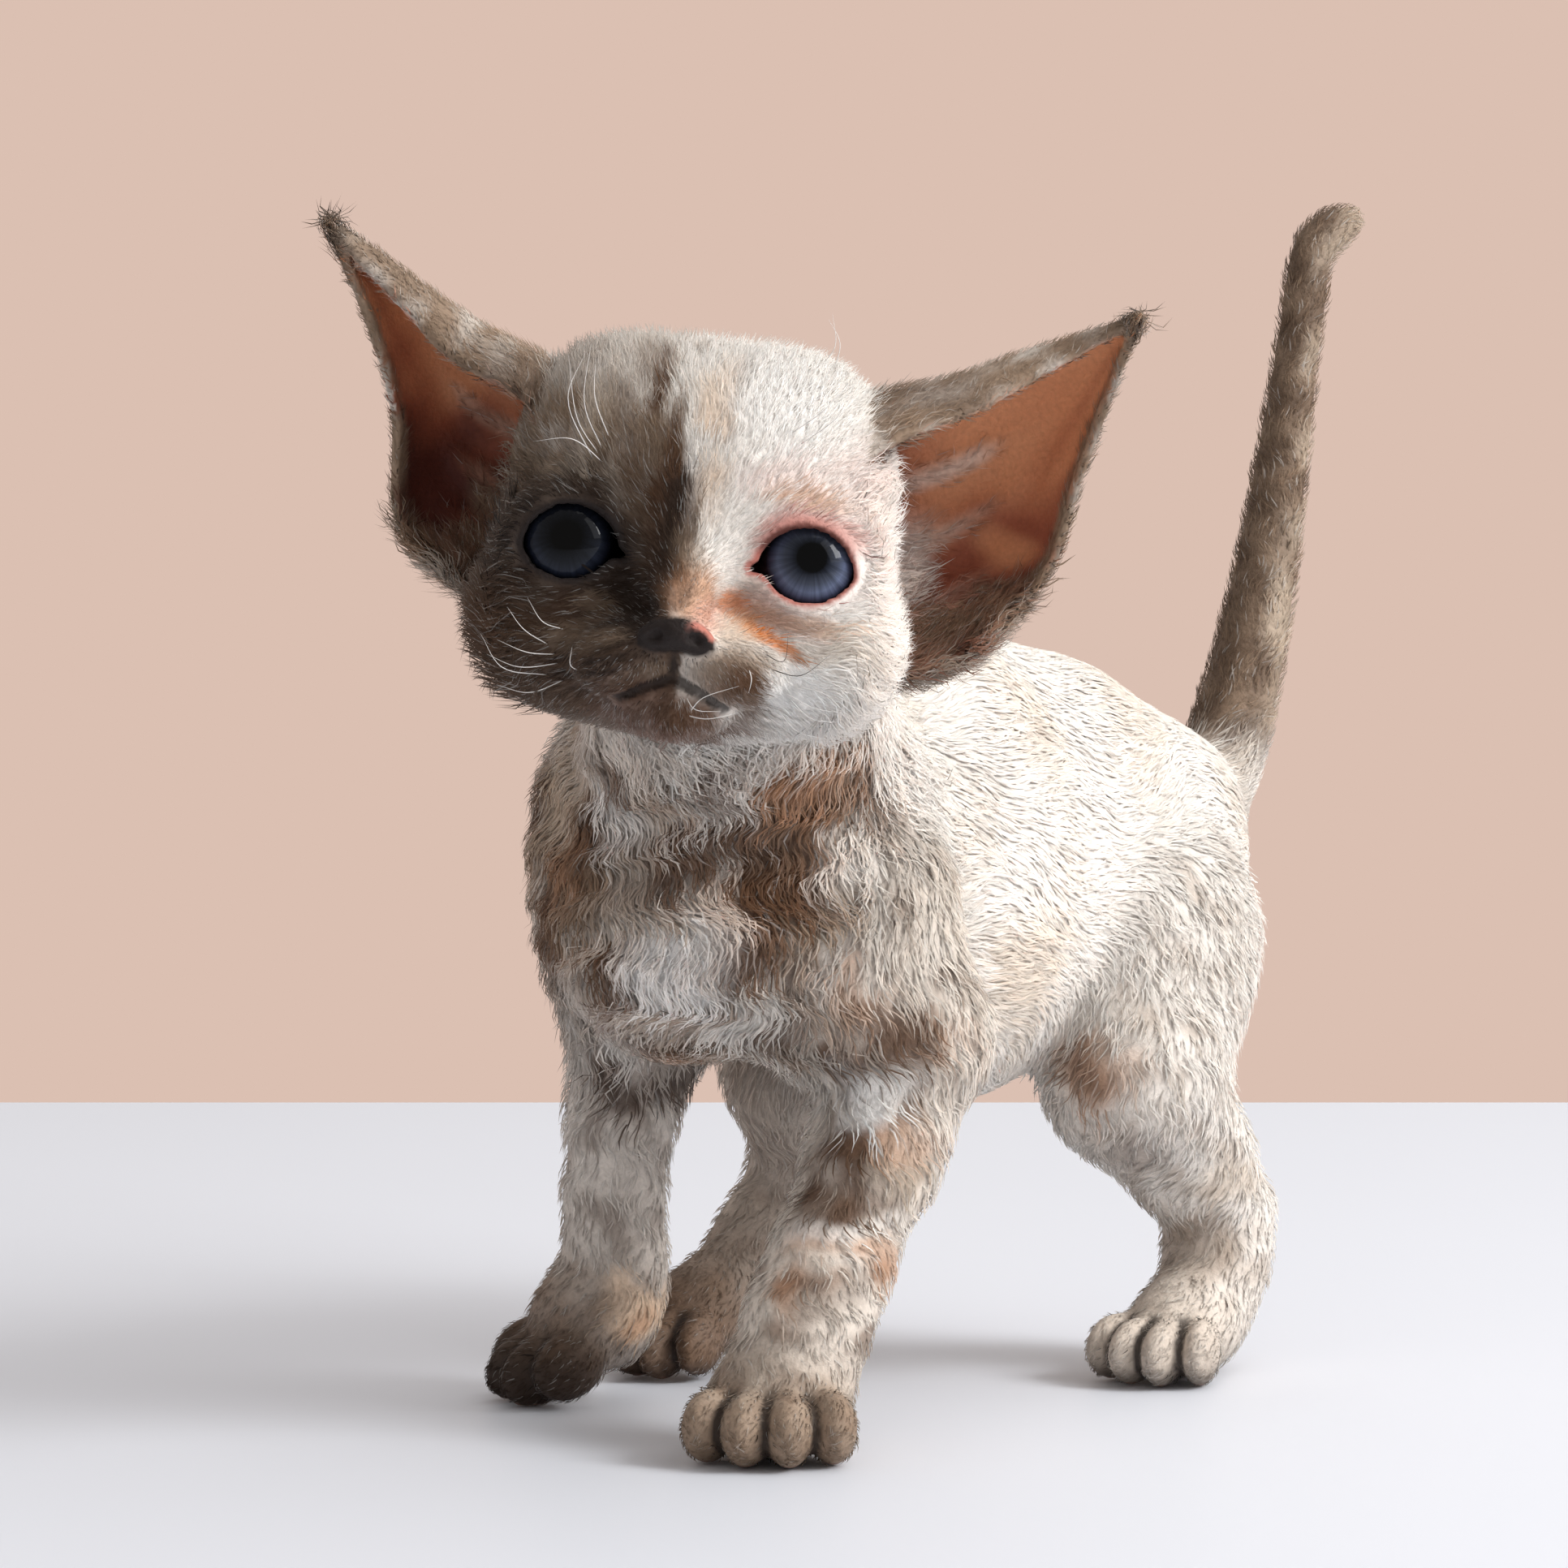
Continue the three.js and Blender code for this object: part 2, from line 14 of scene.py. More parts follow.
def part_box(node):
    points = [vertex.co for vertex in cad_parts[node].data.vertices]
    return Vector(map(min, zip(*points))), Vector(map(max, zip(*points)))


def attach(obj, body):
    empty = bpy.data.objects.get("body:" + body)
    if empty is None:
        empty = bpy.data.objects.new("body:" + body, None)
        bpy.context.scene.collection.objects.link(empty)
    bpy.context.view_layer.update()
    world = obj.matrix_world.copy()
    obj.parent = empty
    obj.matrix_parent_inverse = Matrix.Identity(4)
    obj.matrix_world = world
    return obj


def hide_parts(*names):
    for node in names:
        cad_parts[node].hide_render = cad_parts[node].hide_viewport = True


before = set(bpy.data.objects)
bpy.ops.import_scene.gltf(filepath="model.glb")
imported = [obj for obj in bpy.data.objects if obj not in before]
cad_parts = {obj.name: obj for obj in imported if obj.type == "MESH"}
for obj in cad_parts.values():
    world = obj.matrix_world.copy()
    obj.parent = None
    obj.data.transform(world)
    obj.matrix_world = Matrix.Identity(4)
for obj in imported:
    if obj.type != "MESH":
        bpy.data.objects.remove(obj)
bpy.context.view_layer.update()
rng = np.random.default_rng(7)
LEFT, RIGHT = 1, -1

# Driving sizes, the same as the solids'
BACK_HEIGHT = 113
BELLY_HEIGHT = 40
TRUNK_HALF_WIDTH = 26
SHOULDER_Y = 0
HIP_Y = 82
SKULL_HALF_WIDTH = 25.5
EYE_HALF_SPACING = 15.5
EYE_RADIUS = 7.6
EAR_WALL = 1.3
EAR_SKIN_HALF = 0.7  # half the ear's thickness without its fur
LEG_RADIUS = 8.4
TAIL_BASE_RADIUS = 8
TAIL_TIP_RADIUS = 3.2
HEAD_PLACE = np.array([28.9, -49.7, 124.6])
HEAD_YAW, HEAD_ROLL, HEAD_PITCH = 34.5, 5.9, -3.4

# How deep the coat is over the skin
FACE_COAT = 0.7
BODY_COAT = 2.2
LEG_COAT = 1.3
PAW_COAT = 0.7
TAIL_COAT = 1.6

# How wide the blend is where a shape joins the rest
TRUNK_BLEND = 8
LEG_BLEND = 6
TAIL_BLEND = 4
PALM_BLEND = 4
TOE_BLEND = 1.9
EAR_BLEND = 2.2
CUT_BLEND = 0.5
SOCKET_BLEND = 0.2

FLOOR_GAP = 0.25  # between the skin's lowest points and the floor
FAR = 30  # the distance given to places that no shape reaches
CUBE = list(product((0, 1), repeat=3))


def turn_about(axis, degrees):
    a = np.radians(degrees)
    c, s = np.cos(a), np.sin(a)
    if axis == "X":
        return np.array([[1, 0, 0], [0, c, -s], [0, s, c]])
    if axis == "Y":
        return np.array([[c, 0, s], [0, 1, 0], [-s, 0, c]])
    return np.array([[c, -s, 0], [s, c, 0], [0, 0, 1]])


HEAD_TURN = turn_about("Z", HEAD_YAW) @ turn_about("X", HEAD_PITCH) @ turn_about("Y", HEAD_ROLL)


def from_head(p):
    return np.asarray(p) @ HEAD_TURN.T + HEAD_PLACE


def to_head(p):
    return (p - HEAD_PLACE) @ HEAD_TURN


eye_low, eye_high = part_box("eye_left")
SHIFT = (np.array(eye_low) + np.array(eye_high)) / 2 - from_head([EYE_HALF_SPACING, 0, 0]) / 1000


def metres(p):
    return np.asarray(p) / 1000 + SHIFT


def unit(v):
    return v / np.maximum(np.linalg.norm(v, axis=-1, keepdims=True), 1e-9)


def smoothstep(low, high, x):
    t = np.clip((x - low) / (high - low), 0, 1)
    return t * t * (3 - 2 * t)


# Shapes: a distance function with a box it fits in

def box_corners(low, high):
    return np.array(list(product(*zip(low, high))))


class Shape:
    def __init__(self, distance, low, high):
        self.distance = distance
        self.low = np.array(low, float)
        self.high = np.array(high, float)

    def in_head(self):
        """The same shape, given in head coordinates."""
        corners = from_head(box_corners(self.low, self.high))
        return Shape(lambda p: self.distance(to_head(p)), corners.min(0), corners.max(0))


def mass(centre, radii, turn=(0, 0, 0)):
    """An ellipsoid."""
    c, r = np.array(centre, float), np.array(radii, float)
    spin = turn_about("X", turn[0]) @ turn_about("Y", turn[1]) @ turn_about("Z", turn[2])

    def distance(p):
        q = (p - c) @ spin / r
        k = np.sqrt((q * q).sum(-1))
        g = np.sqrt(((q / r) ** 2).sum(-1))
        return k * (k - 1) / np.maximum(g, 1e-9)

    half = np.sqrt(((spin * r) ** 2).sum(1))
    return Shape(distance, c - half, c + half)


def limb(a, radius_a, b, radius_b):
    """A round rod between two points, with a radius at each."""
    a, b = np.array(a, float), np.array(b, float)
    axis = b - a

    def distance(p):
        t = np.clip((p - a) @ axis / (axis @ axis), 0, 1)
        q = p - a - t[..., None] * axis
        return np.sqrt((q * q).sum(-1)) - (radius_a + (radius_b - radius_a) * t)

    reach = max(radius_a, radius_b)
    return Shape(distance, np.minimum(a, b) - reach, np.maximum(a, b) + reach)


def chain(stops):
    """Limbs through stops of x, y, z and radius."""
    return [limb(s[:3], s[3], t[:3], t[3]) for s, t in zip(stops, stops[1:])]


def smooth_min(a, b, k):
    h = np.maximum(k - np.abs(a - b), 0) / k
    return np.minimum(a, b) - h * h * k / 4


def curve_points(points, ts):
    """Points of a centripetal Catmull-Rom curve."""
    p = np.array(points, float)
    p = np.vstack([2 * p[0] - p[1], p, 2 * p[-1] - p[-2]])
    out = []
    for t in ts:
        place = min(t, 1 - 1e-9) * (len(points) - 1)
        i = int(place)
        w = place - i
        x0, x1, x2, x3 = p[i:i + 4]
        d0, d1, d2 = (np.linalg.norm(b - a) ** 0.5 for a, b in ((x0, x1), (x1, x2), (x2, x3)))
        m1 = ((x1 - x0) / d0 - (x2 - x0) / (d0 + d1) + (x2 - x1) / d1) * d1
        m2 = ((x2 - x1) / d1 - (x3 - x1) / (d1 + d2) + (x3 - x2) / d2) * d1
        out.append(x1 + m1 * w + (3 * (x2 - x1) - 2 * m1 - m2) * w ** 2 + (2 * (x1 - x2) + m1 + m2) * w ** 3)
    return np.array(out)


# The parts of the body: each region is a list of (shape, width of the blend into what is there already)

def both(make):
    return [make(LEFT), make(RIGHT)]


def head_masses():
    jaw = mass([0, 9, -14], [17, 18, 10])
    base = [mass([0, 17, 7], [SKULL_HALF_WIDTH, 26, 23]), mass([0, 4, 11], [16, 11.5, 12]),
            *both(lambda s: mass([s * 12.5, 17, 15.5], [11.5, 17, 12.6])),
            *both(lambda s: mass([s * 15.5, 8, -9.5], [12.5, 15, 12.5])), jaw]
    face = [*both(lambda s: mass([s * EYE_HALF_SPACING, 0, 0.4], [9.6, 9.1, 9.2])),
            limb([0, -3, 3], 6.4, [0, -11.6, -7.6], 4.2)]
    pads = both(lambda s: mass([s * 6.3, -7.6, -13.9], [7.9, 7.6, 5.7], [0, s * 12, s * 10]))
    chin = [mass([0, -5.6, -19.6], [8, 7.4, 5.2])]
    nose = [mass([0, -14.2, -10.4], [4.3, 3, 3.1]),
            *both(lambda s: mass([s * 3.3, -14.6, -11.2], [2.3, 2.3, 1.9]))]
    groups = ((base, 7), (face, 4), (chin, 4), (pads, 2.6), (nose, 1.6))
    return [(s.in_head(), k) for group, k in groups for s in group]


def trunk_masses():
    middle = (BACK_HEIGHT + BELLY_HEIGHT) / 2
    spine = chain([[0, SHOULDER_Y, BACK_HEIGHT - 13, 13], [3, 38, BACK_HEIGHT - 12, 12.5],
                   [6, 70, BACK_HEIGHT - 19, 13], [8, 98, BACK_HEIGHT - 29, 13]])
    shapes = [mass([0, SHOULDER_Y, 82], [26, 27, 30]),
              mass([2, 42, middle], [TRUNK_HALF_WIDTH, 46, (BACK_HEIGHT - BELLY_HEIGHT) / 2]),
              mass([6, HIP_Y, 75], [22, 34, 25], [-12, 0, 0]), *spine, mass([0, -15, 71], [19, 14, 18]),
              mass([15, 0, 76], [12, 18, 26], [-10, 0, 0]), mass([-19.5, 0, 79], [13, 18, 27], [4, 0, 0])]
    return [(s, TRUNK_BLEND) for s in shapes]


NECK = [[0, 8, 88, 22], [9, -14, 104, 20.5], [20, -34, 118, 17]]
TAIL_LINE = [[9, 99, 76], [10, 113, 90], [10.5, 121, 107], [10.5, 127, 124], [11, 131, 142], [11.5, 135, 160],
             [12, 138, 171], [14.5, 144, 175]]
TAIL_POINTS = curve_points(TAIL_LINE, np.linspace(0, 1, 22))


def tail_masses():
    step = np.linspace(0, 1, len(TAIL_POINTS))
    radii = TAIL_TIP_RADIUS + (TAIL_BASE_RADIUS - TAIL_TIP_RADIUS) * (1 - step) ** 1.6
    return [(s, TAIL_BLEND) for s in chain([[*p, r] for p, r in zip(TAIL_POINTS, radii)])]


R = LEG_RADIUS
TOES = 4
# Each leg: its upper mass, stops down it with a radius, and its paw: place, yaw, size, hind or not, and by
# how many degrees its heel is lifted
LEGS = {
    "front_left": (mass([21, 3, 68], [10.5, 14, 20], [-22, 0, 0]),
                   [[20, 4, 76, 10], [23, 9.5, 56, R + 2.6], [21.5, 3, 40, R + 1], [20, -6, 25, R + 0.3],
                    [19.4, -11, 16.5, R + 0.3], [19, -13, 10, R + 0.3]],
                   ([18.8, -17], 30, 1.0, False, 0)),
    "front_right": (mass([-21, 3, 70], [10.5, 14, 19], [-8, 0, 0]),
                    [[-19, 2, 76, 10], [-22.5, 7, 56, R + 2], [-25.6, 6, 42, R - 0.6], [-27, 6, 30, R - 1.2],
                     [-27.6, 7, 19.5, R - 0.8], [-29, 6, 12, R - 0.6]],
                    ([-30.4, 6.8], -32, 0.97, False, 28)),
    "hind_left": (mass([22, 76, 60], [12, 19, 24], [-24, 0, 0]),
                  [[20, 82, 66, 14], [24, 66, 45, 13], [26, 78, 33, R + 1.4], [26, 88, 23, R - 0.4],
                   [26.6, 85.5, 15, R - 0.6], [27.4, 79, 9, R - 1]],
                  ([27.6, 72], 8, 0.98, True, 0)),
    "hind_right": (mass([-14, 62, 60], [13, 20, 24], [-40, 0, 0]),
                   [[-14, 72, 66, 14], [-19, 43, 46, 12.5], [-24, 50, 38, R + 0.6], [-28.5, 55, 29, R - 0.8],
                    [-31, 48, 19, R - 1.2], [-33, 41, 11, R - 1.4]],
                   ([-34, 34.5], -4, 0.92, True, 12)),
}


def paw_shapes(place, yaw, size, hind, lift):
    """The palm, the heel and four toes, with the widths of their blends."""
    spread = 0.84 if hind else 1
    sole = 5.1
    toes = [mass([x * spread, y, sole], [4.1 * spread, 7.2, sole + 0.6], [0, 0, x * 1.6])
            for x, y in ((-8.4, -5.6), (-2.9, -9), (2.9, -9), (8.4, -5.6))]
    heel = limb([0, 4, 7.3], 7.2, [0, 12, 8.5], 7) if hind else mass([0, 4, 8], [8.6, 9, 8])
    spin = turn_about("X", -lift)
    stand = turn_about("Z", yaw)
    hinge = np.array([0, -10, 2])
    at = np.array([*place, 0])

    def place_shape(shape):
        def distance(p):
            q = (p - at) @ stand / size
            return shape.distance((q - hinge) @ spin.T + hinge) * size

        corners = ((box_corners(shape.low, shape.high) - hinge) @ spin + hinge) * size @ stand.T + at
        return Shape(distance, corners.min(0), corners.max(0))

    palm = mass([0, 2.6, 7.2], [9.8 * spread, 11, 7.6])
    blends = [PALM_BLEND, PALM_BLEND] + [TOE_BLEND] * TOES
    return [(place_shape(s), k) for s, k in zip([palm, heel, *toes], blends)]


REGIONS = {"trunk": (trunk_masses(), BODY_COAT), "neck": ([(s, TRUNK_BLEND) for s in chain(NECK)], BODY_COAT),
           "tail": (tail_masses(), TAIL_COAT)}
for leg_name, (upper, line, paw) in LEGS.items():
    REGIONS["leg_" + leg_name] = ([(s, LEG_BLEND) for s in [upper, *chain(line)]], LEG_COAT)
    REGIONS["paw_" + leg_name] = (paw_shapes(*paw), PAW_COAT)
REGIONS["head"] = (head_masses(), FACE_COAT)

# The ear, a cup that narrows to its tip
EAR_RIDGE = {
    LEFT: [[13, 14, 16], [20, 17, 23.5], [31, 19.5, 27.8],
           [40.5, 19.5, 32.2], [49.3, 16.5, 35.8], [55, 13.6, 38.3]],
    RIGHT: [[13, 14, 16], [20, 17, 23.5], [31, 19.5, 28.2],
            [40.5, 19.5, 33.2], [48.3, 16.5, 37.6], [52.8, 13.6, 40]],
}
EAR_RIM = {
    LEFT: [[21, 11, -12], [34, 14.5, -11.5], [47.5, 18.5, 3.5],
           [50.2, 18.5, 16], [53.3, 15.8, 29], [55.6, 13.4, 37.6]],
    RIGHT: [[21, 11, -12], [31, 14.5, -6.8], [40.8, 18.5, 1],
            [42.7, 18.5, 15.5], [46.9, 15.8, 27], [53.2, 13.4, 39.2]],
}
EAR_FRONT_RIM_ANGLE = -52
EAR_RIM_ANGLE = 172
EAR_BACK_WAY = np.array([-0.3, 1, 0.1])
EAR_DEPTH_SHARE = 0.78  # of half its width
EAR_ROWS = 190
EAR_COLUMNS = 160
# The long folds inside the cup: angle round it, width, and where along the ear each starts and ends
EAR_FOLDS = ((62, 9, 0.02, 0.5), (92, 8, 0.02, 0.42), (122, 9, 0.05, 0.36), (150, 7, 0.08, 0.3))
FOLD_HEIGHT = 0.85
FOLD_TWIST = 40  # degrees round the cup from the root to the tip


def ear_sheet(side):
    """Points on the middle of the ear's wall: place, the way out of the cup, how far to the tip, angle round
    the cup and the way to the tip."""
    ts = np.linspace(0.04, 1, EAR_ROWS)
    top, low = curve_points(EAR_RIDGE[side], ts), curve_points(EAR_RIM[side], ts)
    middle, across = (top + low) / 2, low - top
    half = np.linalg.norm(across, axis=1) / 2
    across = unit(across)
    back = unit(EAR_BACK_WAY - across * (across @ EAR_BACK_WAY)[:, None])
    half_wall = EAR_WALL * (1 - 0.5 * ts) / 2
    angle = np.radians(np.linspace(EAR_FRONT_RIM_ANGLE, EAR_RIM_ANGLE, EAR_COLUMNS))
    wide = np.maximum(half - half_wall, 0.1)[:, None, None]
    deep = np.maximum(EAR_DEPTH_SHARE * half - half_wall, 0.1)[:, None, None]
    out = (back[:, None] * np.sin(angle)[None, :, None] * deep
           - across[:, None] * np.cos(angle)[None, :, None] * wide)
    points = middle[:, None] + out
    way = np.broadcast_to(unit(np.gradient(middle, axis=0))[:, None], points.shape).copy()
    for vectors in (points, out, way):
        vectors[..., 0] *= side
    t, turn = np.meshgrid(ts, np.degrees(angle), indexing="ij")
    return (from_head(points.reshape(-1, 3)), unit(out.reshape(-1, 3) @ HEAD_TURN.T), t.ravel(), turn.ravel(),
            way.reshape(-1, 3) @ HEAD_TURN.T)


def ear_thickness(along, angle):
    """Half the skin's thickness, with the folds inside the cup."""
    folds = 0
    for at, width, low, high in EAR_FOLDS:
        lengthwise = smoothstep(low - 0.06, low + 0.05, along) * smoothstep(high + 0.12, high - 0.1, along)
        off_fold = (angle - at - FOLD_TWIST * (along - 0.2)) / width
        folds = folds + FOLD_HEIGHT * np.exp(-off_fold ** 2) * lengthwise
    return EAR_SKIN_HALF + folds


# The openings of the face, in head coordinates

LID_HALF_WIDTH = 6.3
UPPER_LID = 4.9
LOWER_LID = 4.6
LID_TURN = 7  # degrees that the eye's outer corner is higher than its inner one
CORNER_START = 5  # across from the eye's middle, where the inner corner is drawn out
CORNER_LENGTH = 1.9
CORNER_DROP = 0.9


def lid_opening(side):
    """The eye's opening: two arcs that meet at the corners, and the inner corner drawn down to the nose."""
    def distance(p):
        q = (p - np.array([side * EYE_HALF_SPACING, 0, 0])) @ turn_about("Y", side * LID_TURN)
        u, w = q[..., 0] * side, q[..., 2]
        flare = 1 + 0.02 * np.maximum(-q[..., 1] - 6, 0)
        arcs = []
        for height, way in ((UPPER_LID, 1), (LOWER_LID, -1)):
            radius = (LID_HALF_WIDTH ** 2 + height ** 2) / (2 * height)
            arcs.append(np.hypot(u / flare, w / flare + way * (radius - height)) - radius)
        t = np.clip((-u - CORNER_START) / CORNER_LENGTH, 0, 1)
        corner = np.hypot(u + CORNER_START + CORNER_LENGTH * t, w + CORNER_DROP + CORNER_DROP * t)
        corner = corner - (1.0 - 0.5 * t)
        opening = smooth_min(np.maximum(*arcs), corner, 1.0)
        ball = EYE_RADIUS + 0.12 - np.sqrt((q * q).sum(-1))
        front = q[..., 1] + 1
        return np.maximum(np.maximum(opening, ball), front)

    c = side * EYE_HALF_SPACING
    return Shape(distance, [c - 10, -14, -8], [c + 10, 0, 8]).in_head()


def sight_line(x, z, step):
    """A line of points from before the face into the head, and how far back each of them is."""
    y = np.arange(-26, 22, step)
    return y, from_head(np.stack([np.full(len(y), x), y, np.full(len(y), z)], 1))


def on_face(x, z):
    """The point of the face's front at a place across it and up it."""
    y, line = sight_line(x, z, 0.1)
    value = FAR
    for shape, k in head_masses():
        value = smooth_min(value, shape.distance(line) + FACE_COAT, k)
    return [x, y[np.argmax(value < 0)], z]


def mouth_shapes():
    """The groove under the nose, the line of the mouth and the nostrils."""
    groove = 0.62
    seam = on_face(0, -16.2)
    line = [limb(on_face(0, -12.9), groove, seam, groove)]
    for s in (LEFT, RIGHT):
        fold = on_face(s * 3.8, -17.9)
        nostril, wing = on_face(s * 2.7, -11.2), on_face(s * 4.5, -12.2)
        line.append(limb(seam, groove, fold, groove))
        line.append(limb(fold, groove, on_face(s * 7.2, -19.6), groove * 0.8))
        line.append(mass(nostril, [1.35, 1.6, 0.8], [0, s * 28, 0]))
        line.append(limb(nostril, 0.5, wing, 0.32))
    return [s.in_head() for s in line]


# One skin: the field on a grid that is finest at the head, then a net of quads round it

def axis_steps(*spans):
    """Grid lines from (start, end, spacing) spans that follow each other."""
    lines = [np.linspace(a, b, max(int(round((b - a) / h)), 1), endpoint=False) for a, b, h in spans]
    return np.concatenate([*lines, [spans[-1][1]]]).astype(np.float32)


AXES = (axis_steps((-50, -8, 0.85), (-8, 62, 0.62), (62, 78, 0.75)),
        axis_steps((-78, -2, 0.64), (-2, 56, 1.2), (56, 150, 1.5)),
        axis_steps((-2, 18, 0.8), (18, 98, 1.4), (98, 158, 0.64), (158, 182, 0.85)))
SHAPE_MARGIN = 5  # round a shape's box, for its blend
CUT_MARGIN = 1.5
EAR_BAND = 4  # grid lines on each side of the ear's wall
EVENING = (0.5, -0.52) * 3  # each pass smooths the net, then swells it back


def part_of_grid(low, high, margin):
    ranges = [np.searchsorted(axis, [low[i] - margin, high[i] + margin]) for i, axis in enumerate(AXES)]
    return tuple(slice(max(a - 1, 0), b + 1) for a, b in ranges)


def grid_points(part):
    lines = [axis[s] for axis, s in zip(AXES, part)]
    return np.stack(np.meshgrid(*lines, indexing="ij"), -1)


def skin_field():
    field = np.full([len(a) for a in AXES], FAR, np.float32)
    for shapes, coat in REGIONS.values():
        for shape, k in shapes:
            part = part_of_grid(shape.low, shape.high, SHAPE_MARGIN)
            field[part] = smooth_min(field[part], shape.distance(grid_points(part)) + coat, k)
    ears = np.full(field.shape, FAR, np.float32)
    for side in (LEFT, RIGHT):
        points, _, along, angle, _ = ear_sheet(side)
        thick = ear_thickness(along, angle)
        home = [np.clip(np.searchsorted(a, points[:, i]), EAR_BAND, len(a) - EAR_BAND - 1)
                for i, a in enumerate(AXES)]
        for step in product(range(-EAR_BAND, EAR_BAND), repeat=3):
            at = tuple(home[i] + step[i] for i in range(3))
            nodes = np.stack([AXES[i][at[i]] for i in range(3)], -1)
            np.minimum.at(ears, at, np.linalg.norm(nodes - points, axis=1) - thick)
    field = np.where(ears < FAR, smooth_min(field, ears, EAR_BLEND), field)
    sockets = both(lambda s: mass([s * EYE_HALF_SPACING, 0, 0], [EYE_RADIUS + 0.1] * 3).in_head())
    cuts = [(s, CUT_BLEND) for s in both(lid_opening)] + [(s, SOCKET_BLEND) for s in sockets]
    cuts += [(s, CUT_BLEND) for s in mouth_shapes()]
    for tool, k in cuts:
        part = part_of_grid(tool.low, tool.high, CUT_MARGIN)
        field[part] = -smooth_min(-field[part], tool.distance(grid_points(part)), k)
    height = AXES[2][None, None, :]
    return np.maximum(field, FLOOR_GAP - height), ears


def net(field):
    """Quads round the field's zero, one point in each cell that it crosses."""
    inside = field < 0
    cells = tuple(n - 1 for n in field.shape)
    count = np.zeros(cells, np.int8)
    for i, j, k in CUBE:
        count += inside[i:i + cells[0], j:j + cells[1], k:k + cells[2]]
    home = np.argwhere((count > 0) & (count < 8))
    number = np.full(cells, -1, np.int32)
    number[tuple(home.T)] = np.arange(len(home))
    total, hits = np.zeros((len(home), 3)), np.zeros(len(home))
    for a in CUBE:
        for axis in range(3):
            if a[axis]:
                continue
            b = tuple(v + (i == axis) for i, v in enumerate(a))
            at_a, at_b = tuple((home + a).T), tuple((home + b).T)
            fa, fb = field[at_a], field[at_b]
            crosses = (fa < 0) != (fb < 0)
            t = np.where(crosses, fa / np.where(crosses, fa - fb, 1), 0)
            pa = np.stack([AXES[i][at_a[i]] for i in range(3)], -1)
            pb = np.stack([AXES[i][at_b[i]] for i in range(3)], -1)
            total += np.where(crosses[:, None], pa + t[:, None] * (pb - pa), 0)
            hits += crosses
    quads = []
    for axis in range(3):
        u, v = (axis + 1) % 3, (axis + 2) % 3
        edge = np.argwhere(inside != np.roll(inside, -1, axis))
        edge = edge[(edge[:, axis] < cells[axis]) & (edge[:, u] > 0) & (edge[:, v] > 0)
                    & (edge[:, u] < cells[u]) & (edge[:, v] < cells[v])]
        ring = []
        for du, dv in ((0, 0), (1, 0), (1, 1), (0, 1)):
            cell = edge.copy()
            cell[:, u] -= du
            cell[:, v] -= dv
            ring.append(number[tuple(cell.T)])
        quad = np.stack(ring, 1)
        outward = inside[tuple(edge.T)]
        quads.append(np.where(outward[:, None], quad, quad[:, ::-1]))
    return total / hits[:, None], np.concatenate(quads)


def relax(points, quads):
    """Evens the net out with no loss of size."""
    a = quads.reshape(-1)
    b = np.roll(quads, -1, 1).reshape(-1)
    degree = np.bincount(a, minlength=len(points)) + np.bincount(b, minlength=len(points))
    for weight in EVENING:
        total = np.zeros_like(points)
        for i in range(3):
            total[:, i] = np.bincount(a, points[b, i], len(points))
            total[:, i] += np.bincount(b, points[a, i], len(points))
        points = points + weight * (total / degree[:, None] - points)
    return points


def new_mesh(name, points, faces, smooth=True):
    """A Blender object from points in metres and an array of faces of one size."""
    mesh = bpy.data.meshes.new(name)
    mesh.vertices.add(len(points))
    mesh.vertices.foreach_set("co", np.asarray(points, np.float32).ravel())
    size = faces.shape[1]
    mesh.loops.add(faces.size)
    mesh.loops.foreach_set("vertex_index", faces.astype(np.int32).ravel())
    mesh.polygons.add(len(faces))
    mesh.polygons.foreach_set("loop_start", np.arange(0, faces.size, size, dtype=np.int32))
    mesh.polygons.foreach_set("use_smooth", np.full(len(faces), smooth))
    mesh.update(calc_edges=True)
    mesh.validate()
    obj = bpy.data.objects.new(name, mesh)
    bpy.context.scene.collection.objects.link(obj)
    return obj


field, ear_field = skin_field()
skin_points, skin_quads = net(field)
skin_points = relax(skin_points, skin_quads)
skin_points[:, 2] = np.maximum(skin_points[:, 2], FLOOR_GAP)
skin = new_mesh("skin", metres(skin_points), skin_quads)


# What the skin is at each of its points

def noise(seed, size, count=9):
    """A smooth field between about -1 and 1 with features of the given size in mm."""
    draw = np.random.default_rng(seed)
    ways = unit(draw.normal(size=(count, 3))) * np.pi / size * draw.uniform(0.55, 1.45, (count, 1))
    starts = draw.uniform(0, 2 * np.pi, count)
    return lambda p: np.sin(p @ ways.T + starts).sum(-1) * (1.25 / count) ** 0.5


def point_normals(points, quads):
    face = np.cross(points[quads[:, 2]] - points[quads[:, 0]], points[quads[:, 3]] - points[quads[:, 1]])
    normals = np.zeros_like(points)
    for i in range(3):
        for j in range(4):
            normals[:, i] += np.bincount(quads[:, j], face[:, i], len(points))
    return unit(normals)


def region_weights(p):
    """How much each point belongs to each region."""
    gaps = np.array([np.min([s.distance(p) for s, _ in shapes], axis=0) for shapes, _ in REGIONS.values()])
    w = np.exp(-(gaps - gaps.min(0)) / 2.2)
    return dict(zip(REGIONS, w / w.sum(0)))


def tree_of(points):
    tree = KDTree(len(points))
    for number, point in enumerate(points):
        tree.insert(point, number)
    tree.balance()
    return tree


